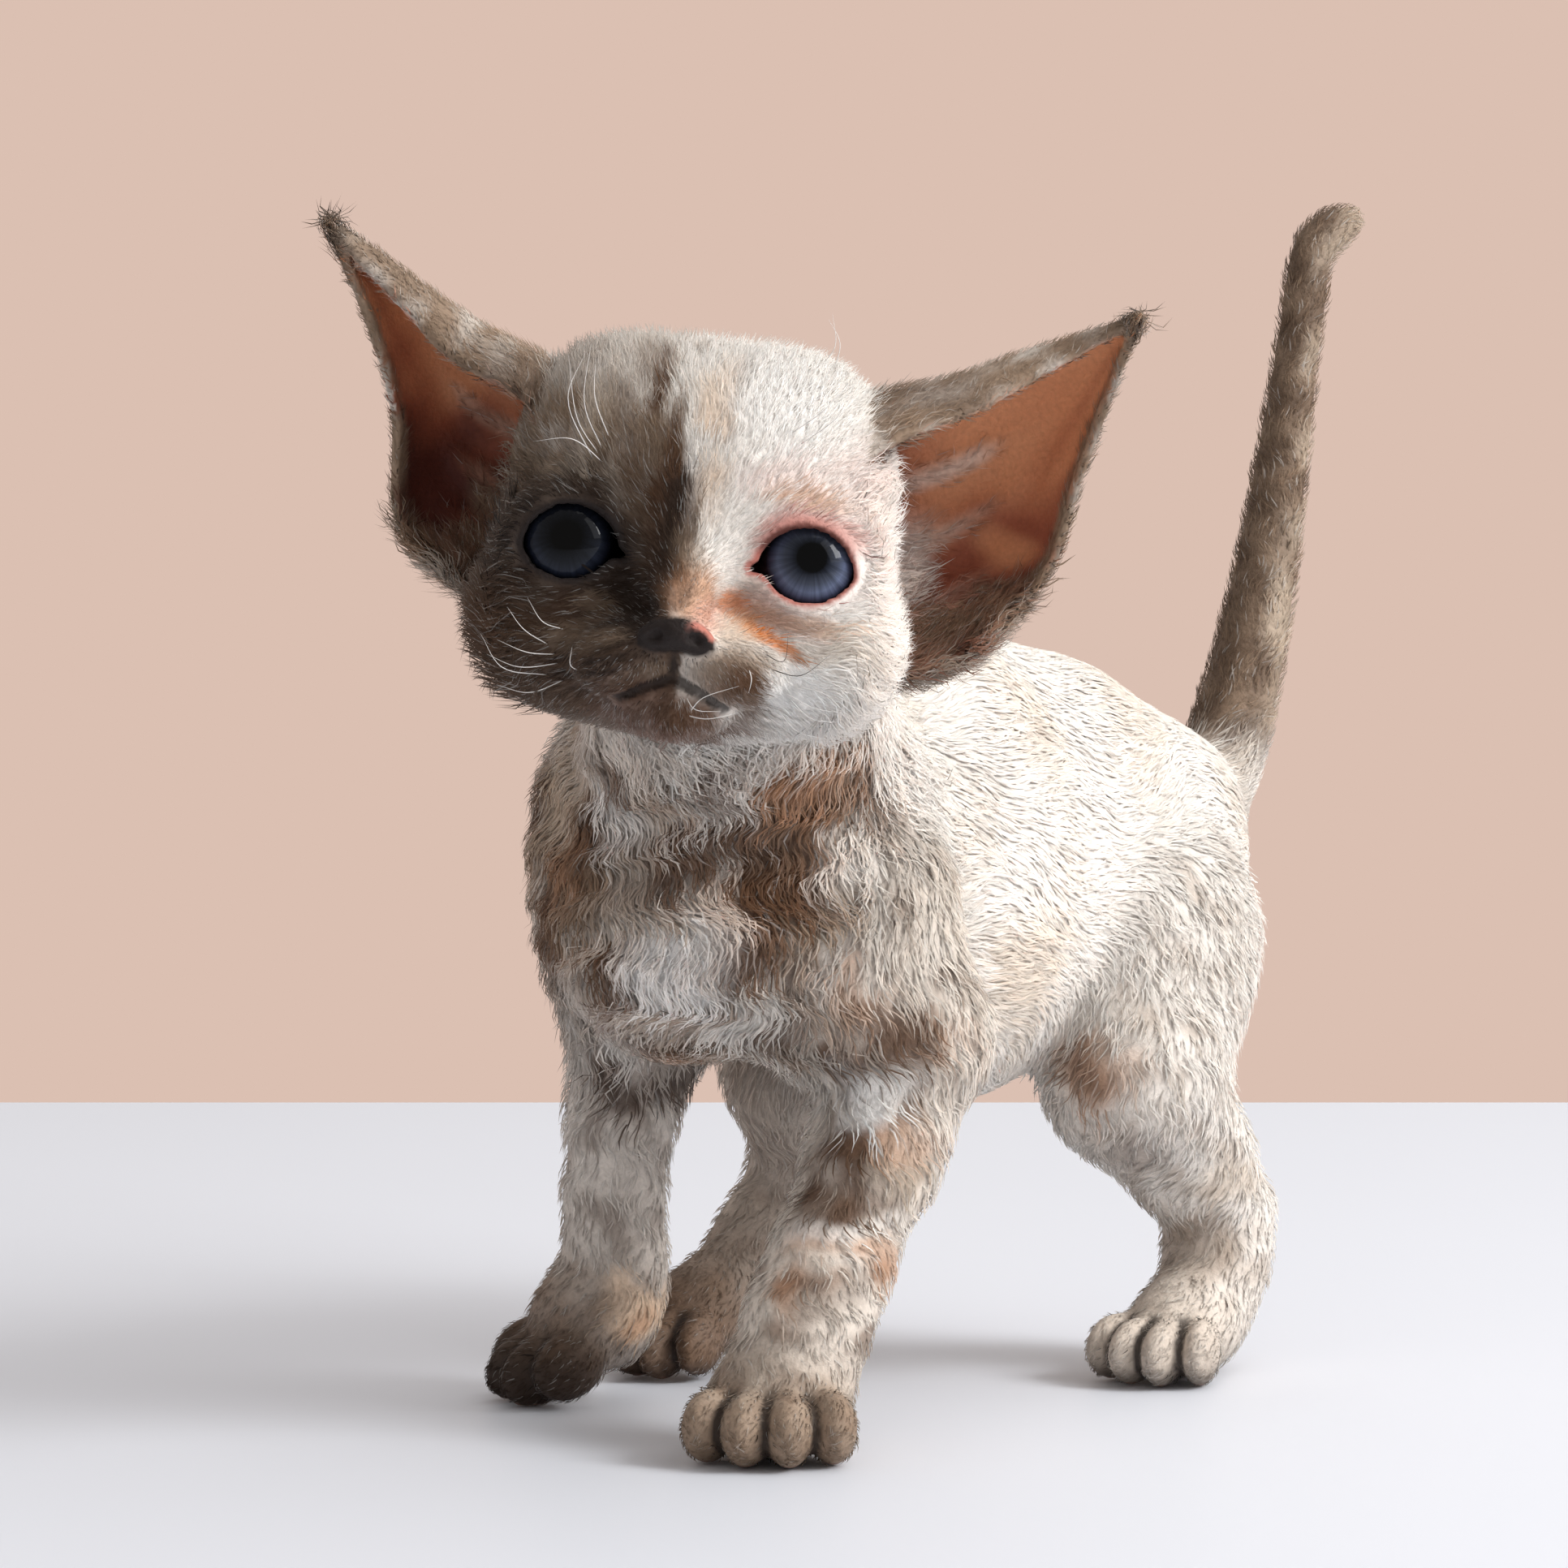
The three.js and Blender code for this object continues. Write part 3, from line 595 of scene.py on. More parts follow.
def ear_places(p):
    """For each point: how much it is ear, how far it is from root to tip, its angle round the cup, whether it
    faces into the cup, and the way to the tip."""
    near = np.stack([np.clip(np.searchsorted(a, p[:, i]), 0, len(a) - 1) for i, a in enumerate(AXES)])
    close = np.flatnonzero(ear_field[tuple(near)] < 1.6)
    amount, along, angle, inner = (np.zeros(len(p)) for _ in range(4))
    toward = np.zeros_like(p)
    for side in (LEFT, RIGHT):
        points, out, t, turn, way = ear_sheet(side)
        tree = tree_of(points)
        for v in close:
            if (to_head(p[v])[0] > 0) != (side > 0):
                continue
            _, i, gap = tree.find(p[v])
            amount[v] = 1 - smoothstep(EAR_SKIN_HALF + 0.35, EAR_SKIN_HALF + 1.3, gap)
            along[v], angle[v], toward[v] = t[i], turn[i], way[i]
            inner[v] = (p[v] - points[i]) @ out[i] < 0
    return amount, along, angle, inner, toward


# At each point of the skin: its place, its normal, its place in head coordinates, its share of each region
PLACES = skin_points
NORMALS = point_normals(skin_points, skin_quads)
IN_HEAD = to_head(PLACES)
SHARE = region_weights(PLACES)
height = PLACES[:, 2]
ear, ear_along, ear_angle, ear_inner, ear_way = ear_places(PLACES)
paw = sum(w for name, w in SHARE.items() if name.startswith("paw"))
leg = sum(w for name, w in SHARE.items() if name.startswith("leg"))
head = SHARE["head"] * (1 - ear)
trunk = SHARE["trunk"] + SHARE["neck"]
NOSE_TIP = np.array([0, -17, -10.4])


def blend_ways(parts):
    total = np.zeros_like(PLACES)
    for weight, way in parts:
        total += np.asarray(weight)[:, None] * unit(np.broadcast_to(np.asarray(way, float), PLACES.shape))
    return total


def lie_of_coat():
    """The way the hair lies, and how far along it each point is."""
    from_nose = IN_HEAD - (NOSE_TIP + [0, 7, 2])
    head_way = unit(from_nose + [0, 6, 0]) @ HEAD_TURN.T
    side = np.sign(PLACES[:, 0] - 5) * smoothstep(4, 20, np.abs(PLACES[:, 0] - 5))
    chest = smoothstep(12, -12, PLACES[:, 1])
    trunk_way = np.stack([0.25 * side * chest, 1 - 1.15 * chest, -0.35 * np.abs(side) - 1.1 * chest], 1)
    tail_step = np.argmin(((PLACES[:, None] - TAIL_POINTS[None, ::3]) ** 2).sum(-1), 1) * 3
    tail_way = np.gradient(TAIL_POINTS, axis=0)[tail_step]
    parts = [(head, head_way), (ear, ear_way), (trunk, trunk_way), (SHARE["tail"] * 1.5, tail_way),
             (leg, [0, 0.12, -1])]
    for name, (_, _, (_, yaw, *_)) in LEGS.items():
        parts.append((SHARE["paw_" + name], turn_about("Z", yaw) @ [0, -1, -0.45]))
    way = blend_ways(parts)
    way = unit(way - NORMALS * (way * NORMALS).sum(1, keepdims=True))
    along = head * np.linalg.norm(from_nose, axis=1) + ear * ear_along * 60 + leg * -height + paw * -height
    along += trunk * (PLACES[:, 1] * (1 - chest) - height * chest) + SHARE["tail"] * height
    return way, along


def turned(way, normal, degrees):
    a = np.radians(degrees)[:, None]
    return way * np.cos(a) + np.cross(normal, way) * np.sin(a)


coat_way, coat_along = lie_of_coat()
swirl = noise(11, 16)(PLACES) * (26 * trunk + 18 * leg + 10 * SHARE["tail"] + 9 * head + 26 * ear)
coat_way = turned(coat_way, NORMALS, swirl)


# Markings, with painted shade and glow among them, laid over each other on the skin and carried to the coat

def tint(red, green, blue):
    """A colour from screen values of 0 to 255."""
    c = np.array([red, green, blue]) / 255
    return np.where(c <= 0.04045, c / 12.92, ((c + 0.055) / 1.055) ** 2.4)


CREAM = tint(240, 232, 223)
WHITE = tint(249, 245, 240)
BEIGE = tint(210, 190, 168)
TAUPE = tint(152, 129, 108)
SMOKE = tint(106, 86, 70)
BROWN = tint(98, 70, 50)
DARK = tint(50, 37, 29)
PEACH = tint(233, 202, 172)
RUST = tint(190, 142, 108)
ORANGE = tint(214, 128, 66)
PINK = tint(226, 164, 150)
RIM_PINK = tint(178, 98, 84)
MAUVE = tint(134, 104, 90)
# The inner ear: its skin with painted glow of light shining through it, and two tones of painted shade.
EAR_GLOW = tint(214, 148, 106)
EAR_SHADE_TONE = tint(150, 80, 58)
EAR_SHADOW_TONE = tint(76, 34, 28)
LEATHER = tint(32, 23, 20)
NOSE_PINK = tint(196, 122, 106)
TABLE_WHITE = tint(230, 234, 242)
ROOM_TONE = tint(238, 233, 230)
WALL_TONE = tint(219, 192, 178)

colour = np.repeat(CREAM[None], len(PLACES), 0)
wide_patches, fine_patches = noise(21, 13)(PLACES), noise(22, 3.4)(PLACES)
drift = np.stack([noise(30 + i, 5)(PLACES) for i in range(3)], 1)
FRONT_OF_HEAD = (IN_HEAD[:, 1] < 12) * head


def lay(tone, amount):
    """Lays a tone over the markings so far."""
    colour[:] = colour + (tone - colour) * np.clip(amount, 0, 1)[:, None]


def spot(points, centre, radii, soft=0.45, wander=1.0):
    """A patch with a soft, uneven edge."""
    q = (points + drift * wander - centre) / radii
    return 1 - smoothstep(1 - soft, 1 + soft, np.linalg.norm(q, axis=1))


def face_spot(x, z, wide, high, soft=0.45, wander=0.6):
    """A patch on the front of the head."""
    return spot(IN_HEAD * [1, 0, 1], [x, 0, z], [wide, 1, high], soft, wander) * FRONT_OF_HEAD


def face_line(a, b, half_width, soft=0.5, wander=0.4):
    """A stripe on the front of the head."""
    a, b = np.array(a, float), np.array(b, float)
    q = IN_HEAD[:, [0, 2]] + drift[:, [0, 2]] * wander
    t = np.clip((q - a) @ (b - a) / ((b - a) @ (b - a)), 0, 1)
    gap = np.linalg.norm(q - a - t[:, None] * (b - a), axis=1) / half_width
    return (1 - smoothstep(1 - soft, 1 + soft, gap)) * FRONT_OF_HEAD


def between_toes():
    """How much each point lies in a gap between two toes."""
    gap = np.zeros(len(PLACES))
    for name, (_, _, place) in LEGS.items():
        near, next_near = np.sort([toe.distance(PLACES) for toe, _ in paw_shapes(*place)[-4:]], axis=0)[:2]
        gap += SHARE["paw_" + name] * smoothstep(1.7, 0.8, next_near - near) * smoothstep(1.2, 0.4, near)
    return gap * smoothstep(12, 9, height)


toe_gap = between_toes()


def mark_body():
    right_side = smoothstep(6, -14, PLACES[:, 0])
    chest = smoothstep(14, -8, PLACES[:, 1]) * smoothstep(104, 92, height)
    rows = np.sin(coat_along / 4 * np.pi + 2.6 * noise(41, 12)(PLACES)) * 0.5 + 0.5
    mottle = np.clip(wide_patches * 0.8 + 0.35 * fine_patches, -1, 1)
    banding = 0.24 * rows * smoothstep(-0.6, 0.4, wide_patches) + 0.26 * np.clip(mottle, 0, 1)
    lay(BEIGE, trunk * banding * (1 - 0.4 * chest))
    lay(TAUPE, trunk * right_side * (0.35 + 0.45 * mottle + 0.2 * rows))
    patches = smoothstep(-0.15, 0.5, noise(45, 7)(PLACES) + 0.25 * rows)
    lay(TAUPE, trunk * chest * (0.12 + 0.6 * patches))
    lay(BROWN, trunk * chest * smoothstep(0.1, 0.7, noise(46, 6)(PLACES) + 0.2 * mottle) * 0.9)
    lay(BROWN, trunk * right_side * smoothstep(0.2, 0.9, noise(43, 9)(PLACES) + 0.4 * rows) * 0.45)
    lay(RUST, trunk * np.clip(noise(44, 10)(PLACES) - 0.6, 0, 1) * (0.4 * right_side + 0.35 * chest))
    lay(TAUPE, SHARE["tail"] * 1.2)
    lay(SMOKE, SHARE["tail"] * (0.7 + 0.3 * fine_patches + 0.25 * rows))
    lay(BEIGE, SHARE["tail"] * smoothstep(2.4, 6.5, PLACES[:, 0] - 11 + 1.4 * drift[:, 0]) * 0.6)
    lay(CREAM, SHARE["tail"] * smoothstep(98, 82, height) * smoothstep(3, 9, PLACES[:, 0]))
    shades = {"front_left": (BEIGE, 0.4, BROWN, 0.75), "front_right": (TAUPE, 0.24, BROWN, 0.5),
              "hind_left": (BEIGE, 0.12, TAUPE, 0.45), "hind_right": (TAUPE, 0.6, BROWN, 0.35)}
    for name, (tone, amount, band, depth) in shades.items():
        both_parts = SHARE["leg_" + name] + SHARE["paw_" + name]
        bands = np.sin(height / 5 * np.pi + 2.2 * wide_patches + PLACES[:, 0] / 9) * 0.7 + 0.5 * fine_patches
        lay(tone, both_parts * amount)
        lay(band, SHARE["leg_" + name] * depth * np.clip(bands, 0, 1))
        lay(tone, SHARE["paw_" + name] * 0.4)
    front_left, hind_left = SHARE["paw_front_left"], SHARE["paw_hind_left"]
    front_right, hind_right = SHARE["paw_front_right"], SHARE["paw_hind_right"]
    lay(TAUPE, (paw - 0.3 * front_left - 0.8 * hind_left) * (0.7 + 0.2 * fine_patches))
    lay(SMOKE, (front_left + 0.3 * hind_left) * smoothstep(10, 6, height + 2 * fine_patches) * 0.6)
    lay(BROWN, front_left * smoothstep(0.1, 0.7, noise(47, 5)(PLACES)) * 0.6)
    lay(BROWN, (front_right + hind_right) * 0.72)
    lay(DARK, front_right * smoothstep(17, 5, height) * 0.95)
    lay(DARK, paw * smoothstep(4.5, 1, height) * 0.65)


# Patches of the body: place, size, tone and how strong
BODY_SPOTS = [
    ((17, -28, 91), (6, 8, 4), BROWN, 0.7), ((-16, -18, 91), (7, 8, 7), BEIGE, 0.6),
    ((-1, -27, 89), (5, 6, 5), WHITE, 0.5), ((27, -17, 94), (6, 8, 7), RUST, 0.7),
    ((20, -17, 77), (4, 5, 4.5), BROWN, 0.85), ((23, -12, 74), (4, 5, 3), TAUPE, 0.8),
    ((-7, -26, 77), (6, 6, 5), TAUPE, 0.7), ((10, -25, 82.5), (5, 5, 3.6), BROWN, 0.5),
    ((17, -20, 71), (5, 5, 3), BROWN, 0.5), ((26, -8, 62.5), (5, 6, 4), RUST, 0.6),
    ((27, -7, 62), (3.4, 4, 2.4), BROWN, 0.7), ((32, 2, 58), (5, 7, 4), RUST, 0.45),
    ((29, -2, 55.5), (3.4, 5, 2.6), BROWN, 0.6), ((9, -25, 67), (9, 7, 6), WHITE, 0.85),
    ((24, -5, 46.5), (4.4, 6, 5), WHITE, 0.85), ((28, -3, 51.5), (4, 5, 3), WHITE, 0.7),
    ((-17, 0, 47), (10, 12, 3.6), BROWN, 0.75), ((-10, -18, 60), (8, 10, 6), CREAM, 0.6),
    ((-21, 5, 14.5), (3.4, 5, 4.4), PEACH, 0.85), ((-20, 4, 12.5), (2, 3.4, 2.4), RUST, 0.6),
    ((23, -7, 41), (4, 5, 4), BROWN, 0.7), ((30, -2, 39), (4, 6, 5), BEIGE, 0.6),
    ((25, -12, 30), (6, 6, 2.4), RUST, 0.55), ((29, -5, 26), (3.4, 6, 3), RUST, 0.4),
    ((24, -16, 22), (6, 6, 2.6), BROWN, 0.45), ((24, 53, 47), (6, 8, 5), RUST, 0.7),
    ((24, 52, 48), (3.4, 5, 3), BROWN, 0.55), ((28, 60, 34), (5, 8, 4), BROWN, 0.55),
    ((26, 77, 20), (9, 9, 6), TAUPE, 0.55), ((35, 78, 30), (5, 8, 4), BEIGE, 0.6),
    ((24, 36, 64), (6, 10, 8), BEIGE, 0.45), ((28, 8, 76), (5, 9, 14), BEIGE, 0.3),
    ((-23, 18, 84), (10, 13, 14), BROWN, 0.22), ((-22, 52, 82), (10, 12, 14), RUST, 0.35),
    ((-16, 80, 78), (11, 15, 14), BROWN, 0.2), ((29, -4.2, 59.4), (5, 10, 4), BROWN, 0.9),
    ((22.5, -8.6, 53.1), (5, 12, 4.4), BROWN, 0.9), ((24.9, -8.8, 50), (3.4, 10, 3), WHITE, 0.8),
    ((23.9, -7.5, 40.8), (6, 12, 4.4), BROWN, 0.9), ((31.3, -2.7, 43.8), (5, 10, 3.4), RUST, 0.55),
    ((22.6, -11, 34.6), (4.4, 12, 3.4), BROWN, 0.8), ((30.4, -5.3, 26.4), (6, 10, 2), RUST, 0.45),
    ((21, -13, 22.1), (3, 10, 4.4), RUST, 0.6), ((26, -10, 31), (7, 10, 1.6), WHITE, 0.5),
    ((22.4, -19, 79.4), (5, 9, 4.4), BROWN, 0.75), ((28.6, -15, 88.3), (4, 9, 4), BROWN, 0.7),
    ((-16.4, 0.6, 46.9), (8, 12, 2.6), DARK, 0.6), ((-8, 60, 112), (12, 16, 8), TAUPE, 0.5),
    ((-4, 24, 112), (9, 12, 6), BEIGE, 0.6), ((-26, 34, 66), (8, 12, 10), CREAM, 0.7),
]


def streaks(size, seed):
    """Noise drawn out along the lie of the hair on the head."""
    return noise(seed, size)(np.stack([IN_HEAD[:, 0] * 2.2, IN_HEAD[:, 1] * 0.5, IN_HEAD[:, 2] * 0.5], 1))


def mark_head():
    x, y, z = IN_HEAD.T
    streak = streaks(3.2, 61)
    middle = -0.4 - 0.08 * np.maximum(z, 0) + 1.4 * streak + 0.6 * drift[:, 0]
    left = smoothstep(1.2, -1.2, x - middle) * smoothstep(-27, -19, z)
    crown_line = z + 2.5 * streak
    lay(TAUPE, head * left * (1 - 0.6 * smoothstep(13, 27, crown_line)) * (0.9 + 0.25 * fine_patches))
    lay(SMOKE, head * left * smoothstep(16, 0, crown_line) * 0.85)
    lay(BROWN, head * left * smoothstep(-6, -12, crown_line) * 0.55)
    lay(BEIGE, face_spot(-12, 15, 5, 6) * 0.25 * (1 + streak) + face_spot(-16, 9.5, 5, 1.4) * 0.4)
    upper_stripe = face_line((-2.9, 8), (-6.4, 24), 2.6) * (0.55 + 0.5 * streak)
    lay(BROWN, face_line((-2.2, -2), (-2.9, 8), 2.6) * 0.9 + upper_stripe)
    lay(DARK, face_line((-1.6, -3), (-2.3, 9), 1.5) * 0.85)
    lay(BROWN, face_line((-8, 9), (-11, 20), 1.4) * 0.5 + face_line((3.4, 15), (4.2, 25), 1.2) * 0.35)
    lay(PEACH, face_spot(2.2, 15, 2.8, 9) * 0.75)
    lay(WHITE, face_spot(10, 20, 7, 8, 0.6) * 0.6)
    lay(PINK, face_spot(12, 10.6, 6, 3) * 0.25 + face_spot(20, 12, 4, 6) * 0.25)
    lay(DARK, face_spot(-15.5, -0.4, 10.4, 9.4, 0.3, 0.5) * 0.97 + face_spot(-8, -6.5, 5.6, 6) * 0.9)
    lay(BROWN, face_spot(-19, -9, 7, 4) * 0.6)
    lay(TAUPE, face_line((-6.5, -11.4), (-16, -12.2), 1.5) * 0.75 + face_spot(-11, -8, 2.6, 1.2) * 0.7)
    rows = np.sin(z / 0.95 * np.pi + 1.2 * drift[:, 2]) * smoothstep(-5, -7, x)
    lay(DARK, face_spot(-10, -15.6, 7.5, 3.4) * np.clip(0.6 + 0.5 * rows, 0, 1))
    lay(TAUPE, face_line((-1.4, -15), (-7.4, -18), 1.0) * 0.6)
    lay(DARK, face_spot(-4.4, -9.4, 3.4, 4.6) * 0.95)
    lay(RUST, face_spot(1.0, -5.6, 3.8, 4.4) * 0.9)
    lay(TAUPE, face_spot(0.2, 0.2, 1.8, 3) * 0.6)
    lay(PINK, face_spot(3, -7.4, 2, 2.6) * 0.35)
    lay(DARK, face_spot(-2.4, -6, 2.3, 4) * (0.8 + 0.4 * fine_patches))
    lay(PINK, face_spot(EYE_HALF_SPACING + 0.3, -0.4, 9, 7.8, 0.3, 0.5) * 0.12)
    lay(RIM_PINK, face_spot(EYE_HALF_SPACING - 1.2, 1.7, 6.6, 5.5, 0.16, 0.25) * 0.5)
    lay(RUST, face_spot(14.4, 8.4, 5, 1.4) * 0.7)
    lay(RIM_PINK, face_spot(EYE_HALF_SPACING + 0.6, 3.0, 6.6, 4.0, 0.25, 0.3) * 0.6)
    lay(RIM_PINK, face_spot(10.2, -5.6, 5, 1.8) * 0.3 + face_line((11, -7.4), (18, -8.4), 1.1) * 0.3)
    outer_streak = face_line((8.6, -8.6), (14.6, -11.4), 0.9) * 0.95
    lay(ORANGE, face_line((6.0, -5.2), (8.6, -8.6), 1.5) * 0.8 + outer_streak)
    lay(PEACH, face_spot(7, -9.4, 3, 2.6) * 0.6)
    lay(RUST, face_line((10, -6.4), (19, -7.6), 1.3) * 0.6)
    lay(BEIGE, face_spot(18.5, -9.6, 6.4, 3.4) * (0.5 + 0.3 * fine_patches))
    lay(BROWN, face_spot(16.5, -10.6, 5, 1.6) * 0.3)
    lay(CREAM, face_spot(7, -12.2, 3.6, 1.3) * 0.6)
    lay(TAUPE, face_spot(7.6, -15.6, 6.4, 4.6) * 0.9)
    pad_corner = face_spot(9.6, -18, 3.6, 2.6) * 0.7
    lay(BROWN, face_spot(6.6, -16, 4.6, 2.4) * (0.75 + 0.4 * fine_patches) + pad_corner)
    lay(WHITE, face_spot(15, -16, 3.6, 4.4) * 0.85)
    lay(MAUVE, face_spot(-0.6, -21.2, 9.6, 4.6) * 0.95)
    lay(BROWN, face_spot(-0.4, -19.2, 7.4, 2.4) * (0.75 + 0.4 * fine_patches))
    lay(BROWN, face_spot(5, -20.4, 5.6, 3.2) * (0.8 + 0.3 * fine_patches))
    lay(WHITE, head * smoothstep(-24.6, -26.6, z + 0.8 * drift[:, 1]) * 0.9)
    lay(TAUPE, head * smoothstep(14, 24, y) * (0.25 + 0.35 * wide_patches))
    lay(BROWN, spot(IN_HEAD, [26, 16, -8], [6, 8, 7]) * head * 0.75)
    lay(WHITE, spot(IN_HEAD, [25, 12, 2], [5, 6, 6]) * head * 0.6)
    # Painted shade: the darker half of the face darkened further, most from the eyes down, fading out towards
    # the crown.
    lay(DARK, head * left * smoothstep(20, 0, crown_line) * 0.4)
    nose_leather = spot(IN_HEAD, [0, -16.2, -11.3], [5.7, 4, 2.9], 0.1, 0)
    lay(LEATHER, nose_leather)
    pink_side = smoothstep(1.6, 2.6, x + 0.8 * drift[:, 0]) * smoothstep(-11.6, -10.6, z)
    lay(NOSE_PINK, nose_leather * pink_side)
    lips = np.min([s.distance(PLACES) for s in mouth_shapes()], axis=0)
    lay(LEATHER, smoothstep(0.35, 0.0, lips) * 0.85 + smoothstep(0.9, 0.3, lips) * smoothstep(-13, -12, z))
    return np.clip(nose_leather, 0, 1), lips


def mark_ears():
    x, _, z = IN_HEAD.T
    outward = np.abs(x)
    left, right = x > 0, x < 0
    outside, inside = ear * (1 - ear_inner), ear * ear_inner
    lay(TAUPE, outside * (0.9 + 0.3 * fine_patches))
    lay(SMOKE, outside * np.clip(0.3 + 0.4 * wide_patches, 0, 1))
    lay(WHITE, outside * smoothstep(30, 75, ear_angle) * smoothstep(125, 85, ear_angle) * 0.25)
    lay(DARK, ear * smoothstep(0.86, 0.97, ear_along) * 0.6)
    lay(EAR_GLOW, inside)
    streak = np.sin(np.radians(ear_angle) * 7 + 1.2 * wide_patches) * 0.5 + 0.5
    from_root = ear_along + 0.06 * wide_patches
    # Painted shade inside the cup: darker over its back wall in streaks, and darker towards its root.
    lay(EAR_SHADE_TONE, inside * smoothstep(60, 140, ear_angle) * (0.15 + 0.35 * streak))
    lay(EAR_SHADE_TONE, inside * smoothstep(0.42, 0.1, from_root) * 0.85)
    lay(EAR_SHADOW_TONE, inside * smoothstep(0.26, 0.08, from_root) * 0.7)
    lay(PINK, inside * smoothstep(15, -30, ear_angle) * smoothstep(0.1, 0.3, ear_along) * 0.6)
    # Painted shade low in the cup, deeper and darker in the right ear, which is on the shaded side.
    depth_in_shade = z - 0.3 * (outward - 30) + 2 * drift[:, 2] - 10 * right
    lay(EAR_SHADE_TONE, inside * smoothstep(15, 3, depth_in_shade) * 0.9)
    lay(EAR_SHADOW_TONE, inside * smoothstep(9, -4, depth_in_shade) * np.where(right, 0.9, 0.4))
    # Painted glow: light shining through the lower pocket of the left ear, which is on the lit side.
    off_pocket = outward - 40.5
    pocket = np.hypot(off_pocket / 4.6, (z - 6.6 + 0.12 * off_pocket) / 2.5)
    lay(EAR_GLOW, inside * smoothstep(1.5, 0.3, pocket + 0.25 * drift[:, 1]) * left * 0.7)
    rim = np.maximum(smoothstep(EAR_FRONT_RIM_ANGLE + 26, EAR_FRONT_RIM_ANGLE + 8, ear_angle),
                     smoothstep(EAR_RIM_ANGLE - 20, EAR_RIM_ANGLE - 6, ear_angle))
    lobe = smoothstep(1.5, -1.5, z - 0.35 * (outward - 38) + drift[:, 0])
    front = smoothstep(33, 29, outward + drift[:, 1]) * smoothstep(12, 4, z)
    lay(TAUPE, inside * np.maximum(rim, lobe) * (0.75 + 0.3 * fine_patches))
    lay(BROWN, inside * lobe * np.clip(np.where(left, 0.1, 0.3) + 0.5 * fine_patches, 0, 1))
    lay(CREAM, inside * front * (1 - lobe) * 0.75 * left)
    lay(TAUPE, inside * front * (1 - lobe) * 0.8 * right)
    return inside, np.maximum.reduce([rim, lobe, front])


mark_body()
for centre, radii, tone, strength in BODY_SPOTS:
    lay(tone, spot(PLACES, centre, radii, 0.5, 1.6) * strength * (1 - SHARE["head"]))
lay(TAUPE, SHARE["paw_front_left"] * smoothstep(13, 8, height) * 0.7)
# Painted shade in the clefts between the toes.
lay(LEATHER, toe_gap * 0.92)
nose_leather, lips = mark_head()
inside_ear, ear_furred = mark_ears()
lay(MAUVE, paw * (NORMALS[:, 2] < -0.85) * smoothstep(0.9, 0.5, height))


# How far each point is from each eye's opening
rim_left, rim_right = lid_opening(LEFT).distance(PLACES), lid_opening(RIGHT).distance(PLACES)
lay(RIM_PINK, smoothstep(0.9, 0.3, rim_left) * head * 0.9)
lay(LEATHER, smoothstep(0.9, 0.3, rim_left) * smoothstep(0.5, 2.5, IN_HEAD[:, 2]) * head * 0.75)
lay(LEATHER, smoothstep(1.3, 0.4, rim_right) * head)


# The coat: tapered three-sided tufts that bend over and follow the skin

WAVE_LENGTH = 8
WAVE_DRIFT = 2.6
CREST_HEIGHT = 0.22  # how much higher a tuft stands at a crest, where it swings by FULL_SWING degrees
FULL_SWING = 40
SIDE_ANGLES = np.radians((90, 210, 330))
FLATNESS = 0.45  # a tuft's thickness, as a share of its width
SHADE_ROUND = 0.45  # how round a tuft is shaded, over the shading of the coat as a whole
ROOT_SHADE = 0.92
TIP_SHADE = 1.04
ROOT_DEPTH = 0.25
LOWEST_HAIR = 0.15
SETTLE_REACH = 2.5
SETTLE_STEP = 1.2
LOCK_PULL = 0.3
LOCK_YAW = 30
PIECE_TRIANGLES = 190000
UV_PATCH = 0.003
wave_start = noise(51, 17)

def sample(q):
    """The skin's field at points, and the way it grows."""
    place, part = [], []
    for i, axis in enumerate(AXES):
        j = np.clip(np.searchsorted(axis, q[:, i]) - 1, 0, len(axis) - 2)
        place.append(j)
        part.append((q[:, i] - axis[j]) / (axis[j + 1] - axis[j]))
    value, slope = np.zeros(len(q)), np.zeros_like(q)
    for corner in CUBE:
        f = field[tuple(place[i] + corner[i] for i in range(3))]
        w = [part[i] if corner[i] else 1 - part[i] for i in range(3)]
        value += f * w[0] * w[1] * w[2]
        for i in range(3):
            others = w[(i + 1) % 3] * w[(i + 2) % 3]
            cell = AXES[i][place[i] + 1] - AXES[i][place[i]]
            slope[:, i] += f * others * (1 if corner[i] else -1) / cell
    return value, unit(slope)


def settle(q, height, normal):
    """Moves points to a height over the skin."""
    value, slope = sample(q)
    good = (np.abs(value - height) < SETTLE_REACH) & ((slope * normal).sum(1) > 0.2)
    normal = np.where(good[:, None], slope, normal)
    shift = np.where(good, np.clip(height - value, -SETTLE_STEP, SETTLE_STEP), 0)
    return q + normal * shift[:, None], normal


def curl(along, p):
    """How far the coat's wave swings, from -1 to 1."""
    return np.sin(2 * np.pi * along / WAVE_LENGTH + WAVE_DRIFT * wave_start(p))


def tuft_faces(sections):
    """The triangles of one tuft: its root, its sides and its tip."""
    faces = [[0, 2, 1]]
    for k in range(sections - 1):
        for j in range(3):
            a, b = 3 * k + j, 3 * k + (j + 1) % 3
            faces += [[a, b, b + 3], [a, b + 3, a + 3]]
    last = 3 * (sections - 1)
    return np.array(faces + [[last + j, last + (j + 1) % 3, last + 3] for j in range(3)])


